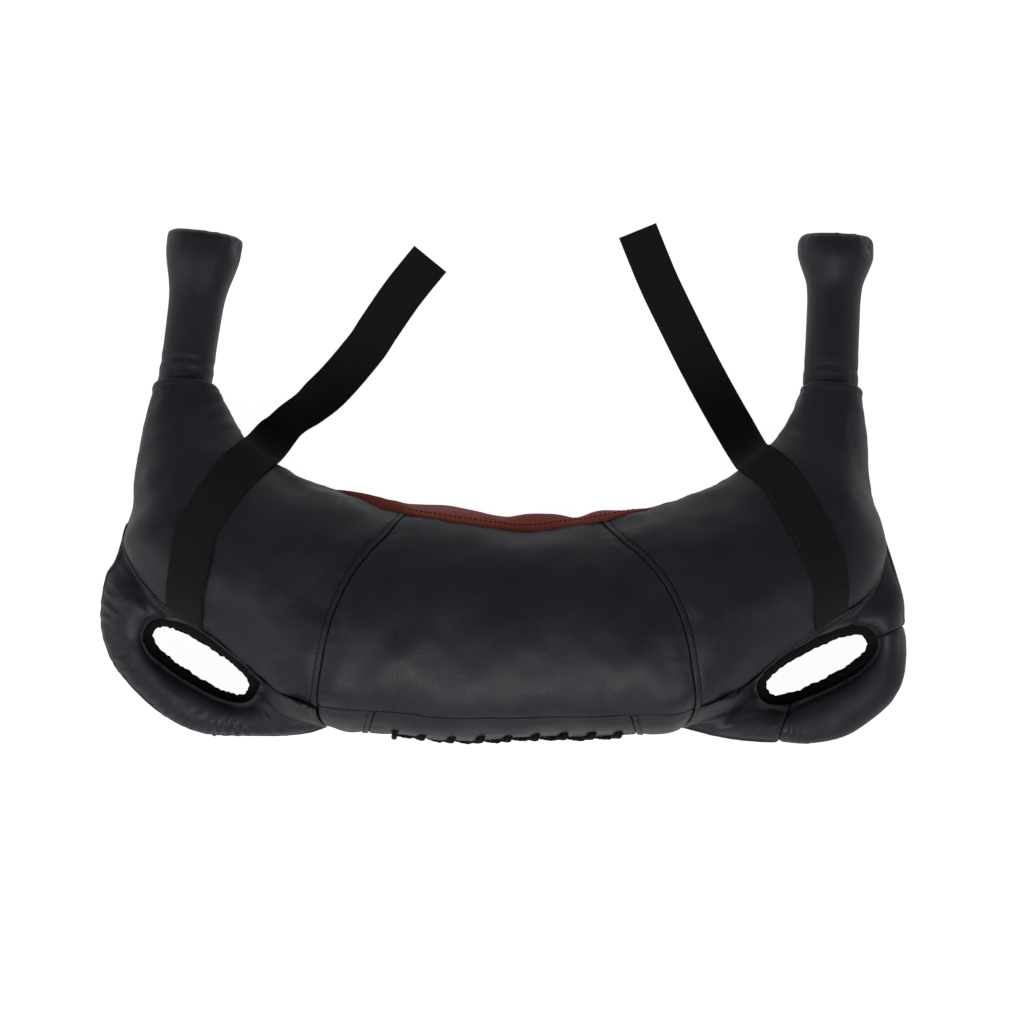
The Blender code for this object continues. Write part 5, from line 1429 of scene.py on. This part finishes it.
def lace_strand(first_leaf):
    """Points of one half of the cord, which starts in the first hole of a lip."""
    over, under = LACE_RADIUS + 0.0001, -(LIP_WALL + LACE_RADIUS + LACE_GAP)
    slit = SLIT_HALF - LACE_RADIUS - LACE_GAP
    bend = HOLE_OFFSET - LACE_RADIUS / 2
    crossing = 0.0012 if first_leaf > 0 else -0.0016
    points = []
    for number in range(LACE_HOLES):
        leaf = first_leaf * (-1) ** number
        station = lace_station(number)
        points += [lace_point(station, leaf * bend, over), lace_point(station, leaf * bend, under),
                   lace_point(station, leaf * SLIT_HALF, under),
                   lace_point(station, leaf * slit / 2, -LIP_WALL / 2)]
        if number < LACE_HOLES - 1:
            points.append(lace_point(lace_station(number + 0.5), 0.0065, crossing))
            points.append(lace_point(lace_station(number + 0.72), -leaf * SLIT_HALF, over - 0.0016))
    return points


def tube(name, route, radius, sides, material, per_step=8):
    """Cord of three twisted strands along a smoothed route, with its length in the UV map."""
    path = row_at(route, np.linspace(0, len(route) - 1, (len(route) - 1) * per_step + 1))
    tangent = unit(np.gradient(path, axis=0))
    side_way = np.cross(tangent[0], (0.3, 0.5, 0.8))
    run = run_along(path)
    turn = np.linspace(0, math.tau, sides, endpoint=False)
    rings = []
    for point, way, distance in zip(path, tangent, run):
        side_way = unit(side_way - way * (side_way @ way))
        up = np.cross(way, side_way)
        strand = radius * (1 + STRAND_RELIEF * np.cos(3 * turn + math.tau * distance / STRAND_TWIST))[:, None]
        rings.append(point + strand * (np.cos(turn)[:, None] * side_way + np.sin(turn)[:, None] * up))
    number = np.arange(len(rings) * sides).reshape(-1, sides)
    beside = np.roll(number, -1, 1)
    faces = np.stack([number[:-1], beside[:-1], beside[1:], number[1:]], -1).reshape(-1, 4).tolist()
    faces += [number[0].tolist(), number[-1][::-1].tolist()]
    uv = np.stack(np.broadcast_arrays(run[:, None], (turn * radius)[None]), -1)
    return make_piece(name, rings, faces, material, uv), run[-1]


bar = [lace_point(lace_station(0), leaf * SLIT_HALF, LACE_RADIUS + LACE_GAP) for leaf in (1, -1)]
lace, length = tube("lace", lace_strand(1)[::-1] + bar + lace_strand(-1), CORD_RADIUS, CORD_SIDES, braid)
dress(lace, "bag", "black_braided_cord", "lacing_cord")
print(f"lace {length:.2f} m long")

# %% [markdown]
# ## Grips
# Each grip is a leather sleeve over a firm core. It is turned like a vase: narrow, then flared at the
# end, where a disc is sewn in. Near the horn the leather is gathered into a few rings, because the
# wide horn ends in a narrow tube. The sleeve bends where it leaves the horn.

# %% Grip sleeves and end discs
SLEEVE_WALL, SLEEVE_SIDES, DISC_WALL = 0.0014, 120, 0.0018
RING_PLACE, RING_REACH, RING_HEIGHT = 0.014, 0.011, 0.00045
PINCH_TURN, PINCH_SPREAD, PINCH_PLACE, PINCH_REACH, PINCH_DEPTH = -0.35, 0.28, 0.010, 0.007, 0.0026


def sleeve_radius(number, side, share, turn):
    """Radius of a sleeve by share of its length and turn: profile, rings, pinch and gathers."""
    radius = GRIP_RADIUS + table_value(GRIP_PROFILE[side], share) * (FLARE_RADIUS - GRIP_RADIUS)
    radius = np.repeat(radius[:, None], len(turn), 1)
    from_root = (share * GRIP_LENGTH)[:, None]
    from_end = ((1 - share) * GRIP_LENGTH)[:, None]
    girth = turn * GRIP_RADIUS
    rings = waves(share * GRIP_LENGTH, 40 + number, (0.0085, 0.014), (0.5, 0.6))[:, None]
    drift = waves(girth, 44 + number, (0.036, 0.07), (0.5, 0.6))[None]
    front = 0.3 + 0.7 * fade(0.5 - 0.9 * np.sin(turn))[None]
    radius += RING_HEIGHT * rings * (1 + 0.6 * drift) * front * bell(from_root - RING_PLACE, RING_REACH)
    gathers = waves(girth, 48 + number, (0.0075, 0.014), (0.6, 0.7))[None]
    radius += 0.0004 * gathers * np.exp(-from_end / 0.010) + 0.0002 * gathers * np.exp(-from_root / 0.006)
    pinch = bell((turn - PINCH_TURN + math.pi) % math.tau - math.pi, PINCH_SPREAD)[None]
    radius -= PINCH_DEPTH * pinch * bell(from_end - PINCH_PLACE, PINCH_REACH)
    radius += 0.0006 * waves(girth, 52 + number, (0.05, 0.09), (0.6, 0.7))[None]
    radius -= 0.0003 * bell(from_root, 0.0018) + 0.0012 * bell(from_end, 0.0012)
    return radius, gathers


def end_disc(name, centre, out, forward, rim_radius, gathers):
    """Round disc with a soft puff, sewn into a grip's end. Each face fans out from a middle point."""
    share = np.concatenate([np.linspace(0.0, 0.9, 20), np.linspace(0.92, 1.0, 9)])
    puff = 0.0014 * (1 - share ** 2) - 0.0012 * bell(1 - share, 0.06)
    puff = puff[:, None] + 0.0004 * gathers * share[:, None] ** 3
    disc = centre + (share[:, None] * rim_radius)[..., None] * out + puff[..., None] * forward
    under = disc - DISC_WALL * forward
    rings, ring = len(share) - 1, len(rim_radius)
    faces = shell_faces(rings, ring, closed_columns=True)
    in_hub = (faces < ring) | ((faces >= ring * rings) & (faces < ring * (rings + 1)))
    faces = faces[~in_hub.all(1)].tolist()
    middle = 2 * ring * rings
    for step in range(ring):
        beside = (step + 1) % ring
        faces.append((middle, step, beside))
        faces.append((middle + 1, ring * rings + beside, ring * rings + step))
    points = np.concatenate([disc[1:].reshape(-1, 3), under[1:].reshape(-1, 3), disc[0, :1], under[0, :1]])
    return make_piece(name, points, faces, black_leather)


for number, side in enumerate(SIDES):
    across, down, forward, root = grip_frame(side)
    share = steps(GRIP_LENGTH, fine=0.0007, coarse=0.0016, margin=0.008)
    turn = np.linspace(0, math.tau, SLEEVE_SIDES, endpoint=False)
    radius, gathers = sleeve_radius(number, side, share, turn)
    height = share * (GRIP_LENGTH + 0.0018) - HINGE_OFFSET
    slant = math.tan(DROOP) * (1 - fade((height + HINGE_OFFSET) / (GRIP_LENGTH / 4)))
    rise = height[:, None] + slant[:, None] * radius * np.sin(turn)[None]
    out = np.cos(turn)[:, None] * across + np.sin(turn)[:, None] * down
    outer = root + radius[..., None] * out + rise[..., None] * forward
    outer = outer + mouth_shift(outer, side)
    normal = np.broadcast_to(out[None], outer.shape)
    sleeve = shell_piece(f"{side}_grip_cover", outer, normal, SLEEVE_WALL, black_leather, closed=True)
    dress(sleeve, None, "black_pu_leather", f"{side}_grip_sleeve")
    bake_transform(sleeve)
    centre = root + height[-1] * forward
    cap = end_disc(f"{side}_end_disc", centre, out, forward, radius[-1] - 0.0001, gathers)
    dress(cap, f"{side}_grip", "black_pu_leather", f"{side}_grip_end_cap")

# %% [markdown]
# ## Straps
# A webbing strap is caught in the corner seam, runs up over the front and leaves the bag at its inner
# edge, and its free tail lies on the floor. One continuous strip of webbing is made for both.

# %% Webbing strips
WEB_WIDTH, WEB_THICK, WEB_GAP = {"left": 0.0352, "right": 0.0340}, 0.0016, 0.0010
NARROWED = {"left": 0.05, "right": 0.12}
TAIL_ROLL = {"left": math.radians(34), "right": 0.0}
TAIL_LENGTH, DROP_RUN, FLOOR_GAP = 0.215, 0.024, 0.0004
SELVEDGE, SELVEDGE_WIDTH, FOLD_START, FOLD_END = 0.0022, 0.0012, 0.004, 0.010
WEB_ROWS, WEB_COLUMNS, TAIL_ROWS, KINK_HEIGHT = 130, 23, 110, 0.0011
TAIL_ROUTE = {
    # plan steps from the inner edge, as shares of the tail's length
    "left": [
        (0, 0), (0.054, 0.062), (0.112, 0.117), (0.180, 0.168), (0.247, 0.226), (0.305, 0.287),
        (0.358, 0.349), (0.410, 0.414), (0.453, 0.481), (0.547, 0.617), (0.656, 0.752),
    ],
    "right": [
        (0, 0), (-0.056, 0.101), (-0.106, 0.187), (-0.192, 0.344), (-0.281, 0.520), (-0.365, 0.695),
        (-0.445, 0.891),
    ],
}


def strap_places(side, share, offset):
    """Stations and angles of strap points: shares of the route and offsets across it."""
    route = np.array([(on_side(side, station), degrees) for station, degrees in STRAP_ROUTE[side]], float)
    position = share * (len(route) - 1)
    here = row_at(route, position)
    ahead = row_at(route, np.minimum(position + STATION_STEP, len(route) - 1))
    behind = row_at(route, np.maximum(position - STATION_STEP, 0))
    station, degrees = here[..., 0], here[..., 1]
    run = body(ahead[..., 0], ahead[..., 1]) - body(behind[..., 0], behind[..., 1])
    across = unit(np.cross(body_normal(station, degrees), run))
    for _ in range(4):
        spot = body(station, degrees)
        per_station = (body(station + STATION_STEP, degrees) - spot) / STATION_STEP
        per_degree = (body(station, degrees + DEGREE_STEP) - spot) / DEGREE_STEP
        wanted = across * (offset / 4)[..., None]
        a, b, c = (np.sum(p * q, -1) for p, q in ((per_station, per_station), (per_station, per_degree),
                                                  (per_degree, per_degree)))
        d, e = np.sum(wanted * per_station, -1), np.sum(wanted * per_degree, -1)
        scale = a * c - b * b
        station, degrees = station + (d * c - e * b) / scale, degrees + (e * a - d * b) / scale
    return station, degrees


def seam_share(side, offset):
    """Share of the route at which each strip line meets the corner seam."""
    low, high = np.zeros_like(offset), np.full_like(offset, 0.5)
    for _ in range(24):
        middle = (low + high) / 2
        station, degrees = strap_places(side, middle, offset)
        above = degrees > table_value(CORNER_SEAM, from_mouth(station))
        high, low = np.where(above, middle, high), np.where(above, low, middle)
    return high


def sewn_strip(side, offset):
    """Strap from the corner seam to the level line at the inner edge: skin, normals and outer grid."""
    start = seam_share(side, offset * (1 - NARROWED[side]))
    share = start[None] + (1 - start)[None] * np.linspace(0, 1, WEB_ROWS)[:-1, None]
    taper = 1 - NARROWED[side] * (1 - fade(share / 0.55))
    station, degrees = strap_places(side, share, offset[None] * taper)
    last_station, _ = strap_places(side, np.ones_like(offset), offset)
    middle_height = row_at(STATIONS, last_station)[:, 5] * HALF_THICKNESS
    level = middle_height[[0, -1]].max()
    last_degrees = 180 - edge_degrees(last_station, np.maximum(level - middle_height, 0))
    base, normal = skin(np.concatenate([station, last_station[None]]),
                        np.concatenate([degrees, last_degrees[None]]))
    reach = distances(base)
    tuck = 1 - fade(reach["bottom"] / 0.006)
    hinge_end = fade(reach["top"] / 0.02)
    lift = WEB_GAP + WEB_THICK + lumps(base) + 0.0004 * hinge_end - 0.0030 * tuck
    return base, normal, base + normal * lift[..., None]


def tail_frame(side, centre, line, half):
    """Line of the free tail: distances, middle points, and the directions across and up."""
    route = centre[:2] + np.array(TAIL_ROUTE[side]) * TAIL_LENGTH
    fine = row_at(route, np.linspace(0, len(route) - 1, 400))
    run = run_along(fine)
    floor = FLOOR_GAP + WEB_THICK / 2
    turn = np.linspace(0, math.pi / 2, 24)[1:]
    flat = np.linspace(DROP_RUN, TAIL_LENGTH, TAIL_ROWS)[1:]
    distance = np.concatenate([DROP_RUN * (1 - np.cos(turn)), flat])
    height = np.concatenate([(centre[2] - floor) * (1 - np.sin(turn)), np.zeros(len(flat))])
    spot = np.stack([np.interp(distance, run, fine[:, axis]) for axis in (0, 1)], -1)
    heading = unit(np.gradient(spot, axis=0))
    square = np.stack([heading[:, 1], -heading[:, 0], np.zeros(len(heading))], -1)
    square[square @ line < 0] *= -1
    ease = fade(distance / (2 * DROP_RUN))[:, None]
    across = unit(line * (1 - ease) + square * ease)
    roll = TAIL_ROLL[side] * fade(distance / 0.030) * fade((0.085 - distance) / 0.045)
    centres = np.concatenate([spot, (floor + height + np.abs(np.sin(roll)) * half)[:, None]], 1)
    up = unit(np.cross(across, np.gradient(np.concatenate([centre[None], centres]), axis=0)[1:]))
    if up[-1, 2] < 0:
        up = -up
    cosine, sine = np.cos(roll)[:, None], np.sin(roll)[:, None]
    return distance, centres, across * cosine + up * sine, up * cosine - across * sine


for number, side in enumerate(SIDES):
    half = WEB_WIDTH[side] / 2
    offset = np.linspace(-half, half, WEB_COLUMNS)
    base, normal, sewn_part = sewn_strip(side, offset)
    away = (normal[-1, 0] + normal[-1, -1]) / 2
    centre = (base[-1, 0] + base[-1, -1]) / 2 + away * (WEB_GAP + WEB_THICK / 2)
    line = unit((base[-1, -1] - base[-1, 0]) * (1, 1, 0))
    distance, centres, across, up = tail_frame(side, centre, line, half)
    kinks = KINK_HEIGHT * np.clip(waves(distance, 130 + number, (0.045, 0.09), (0.5, 0.8)), 0, 2)
    kinks = kinks * fade((distance - 0.03) / 0.03)
    tail = centres[:, None] + across[:, None] * offset[None, :, None]
    tail = tail + up[:, None] * (WEB_THICK / 2 + kinks)[:, None, None]
    jump = sewn_part[-1] - (centre + line * offset[:, None] + away * WEB_THICK / 2)
    tail = tail + jump[None] * (1 - fade(distance / 0.022))[:, None, None]
    outer = np.concatenate([sewn_part, tail])
    normals = np.concatenate([normal, np.broadcast_to(up[:, None], tail.shape)])
    from_side = half - np.abs(offset)
    edge = np.clip(1 - from_side / SELVEDGE, 0, 1)
    selvedge = 0.00025 * bell(from_side - SELVEDGE, SELVEDGE_WIDTH) - 0.0005 * edge ** 3
    outer = outer + normals * selvedge[None, :, None]
    strip = shell_piece(f"{side}_webbing", outer, normals, WEB_THICK, webbing)
    layer = strip.data.uv_layers["cloth"]
    turned = np.zeros(len(layer.uv) * 2)
    layer.uv.foreach_get("vector", turned)
    layer.uv.foreach_set("vector", turned.reshape(-1, 2)[:, ::-1].ravel())
    dress(strip, None, "black_webbing", f"{side}_strap", f"{side}_strap_tail")
    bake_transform(strip)

# %% [markdown]
# ## Stitches
# A stitch is a short thread seen from above, the same one hundreds of times, so Geometry Nodes lay
# them: a curve is resampled at the stitch spacing, a small capsule is set on each point and turned
# along the seam, and the result is made a plain mesh.

# %% Stitch rows
def stitch_tree():
    """Node group that lays stitches along the edges of a mesh."""
    tree = bpy.data.node_groups.new("stitch_row", "GeometryNodeTree")
    tree.interface.new_socket("Seam", in_out="INPUT", socket_type="NodeSocketGeometry")
    for name, value in (("Spacing", 0.0042), ("Stitch length", 0.0031), ("Thread thickness", 0.0009)):
        socket = tree.interface.new_socket(name, in_out="INPUT", socket_type="NodeSocketFloat")
        socket.default_value = value
    tree.interface.new_socket("Thread", in_out="INPUT", socket_type="NodeSocketMaterial")
    tree.interface.new_socket("Stitches", in_out="OUTPUT", socket_type="NodeSocketGeometry")
    start = add_node(tree, "NodeGroupInput").outputs
    line = add_node(tree, "GeometryNodeMeshToCurve", {"Mesh": start["Seam"]})
    dots = add_node(tree, "GeometryNodeResampleCurve", {"Curve": line.outputs[0], "Length": start["Spacing"]},
                    mode="LENGTH")
    ball = add_node(tree, "GeometryNodeMeshUVSphere", {"Segments": 8, "Rings": 5, "Radius": 0.5})
    thickness = start["Thread thickness"]
    size = add_node(tree, "ShaderNodeCombineXYZ", {"X": start["Stitch length"], "Y": thickness,
                    "Z": thickness})
    stitch = add_node(tree, "GeometryNodeTransform", {"Geometry": ball.outputs[0], "Scale": size.outputs[0]})
    way = add_node(tree, "GeometryNodeInputTangent")
    turn = add_node(tree, "FunctionNodeAlignEulerToVector", {"Vector": way.outputs[0]}, axis="X")
    laid = add_node(tree, "GeometryNodeInstanceOnPoints", {"Points": dots.outputs[0],
                    "Instance": stitch.outputs[0], "Rotation": turn.outputs[0]})
    real = add_node(tree, "GeometryNodeRealizeInstances", {"Geometry": laid.outputs[0]})
    threaded = add_node(tree, "GeometryNodeSetMaterial", {"Geometry": real.outputs[0],
                        "Material": start["Thread"]})
    add_node(tree, "NodeGroupOutput", {"Stitches": threaded.outputs[0]})
    return tree


def lay_stitches(name, lines, tree, material):
    """Stitches along several seam lines, as one plain mesh."""
    points, edges = [], []
    for line in lines:
        edges += [(len(points) + step, len(points) + step + 1) for step in range(len(line) - 1)]
        points += [tuple(point) for point in line]
    mesh = bpy.data.meshes.new(name + "_path")
    mesh.from_pydata(points, edges, [])
    path = new_object(name + "_path", mesh)
    modifier = path.modifiers.new("stitches", "NODES")
    modifier.node_group = tree
    for item in tree.interface.items_tree:
        if item.item_type == "SOCKET" and item.in_out == "INPUT" and item.name == "Thread":
            modifier[item.identifier] = material
    bpy.context.view_layer.update()
    graph = bpy.context.evaluated_depsgraph_get()
    result = bpy.data.meshes.new_from_object(path.evaluated_get(graph))
    bpy.data.objects.remove(path, do_unlink=True)
    result.shade_smooth()
    return new_object(name, result)


stitching = stitch_tree()
leather_rows = lay_stitches("seam_stitches", seam_lines, stitching, thread)
dress(leather_rows, "bag", "black_webbing")

# %% [markdown]
# ## What stays inside
# The sand bags, the loops' padding and the grips' cores are covered by the leather. Their solids keep
# their places and get a plain cloth or foam finish.

# %% Inner pieces
INNER_FINISHES = [
    # name, colour, roughness, gloss, nodes
    ("sand_bag_cloth", "#8a8474", 0.9, 0.2, ("left_sand_bag", "right_sand_bag", "centre_sand_bag")),
    ("padding_foam", "#2c2b29", 0.95, 0.2, ("left_loop_core", "right_loop_core")),
    ("grip_core_rubber", "#1a1a1a", 0.7, 0.3, ("left_grip_core", "right_grip_core")),
]
for name, hex_code, roughness, gloss, nodes in INNER_FINISHES:
    material = start_material(name, hex_code, roughness, gloss)[0]
    for node in nodes:
        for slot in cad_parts[node].material_slots:
            slot.material = material
print("inner finishes:", len(INNER_FINISHES))

# %% Print the sizes and finish
sizes = {"cad": [list(corner) for corner in cad_box], "visual": [list(corner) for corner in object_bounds()]}
for name, box in sizes.items():
    print(name, [round(high - low, 4) for low, high in zip(*box)])
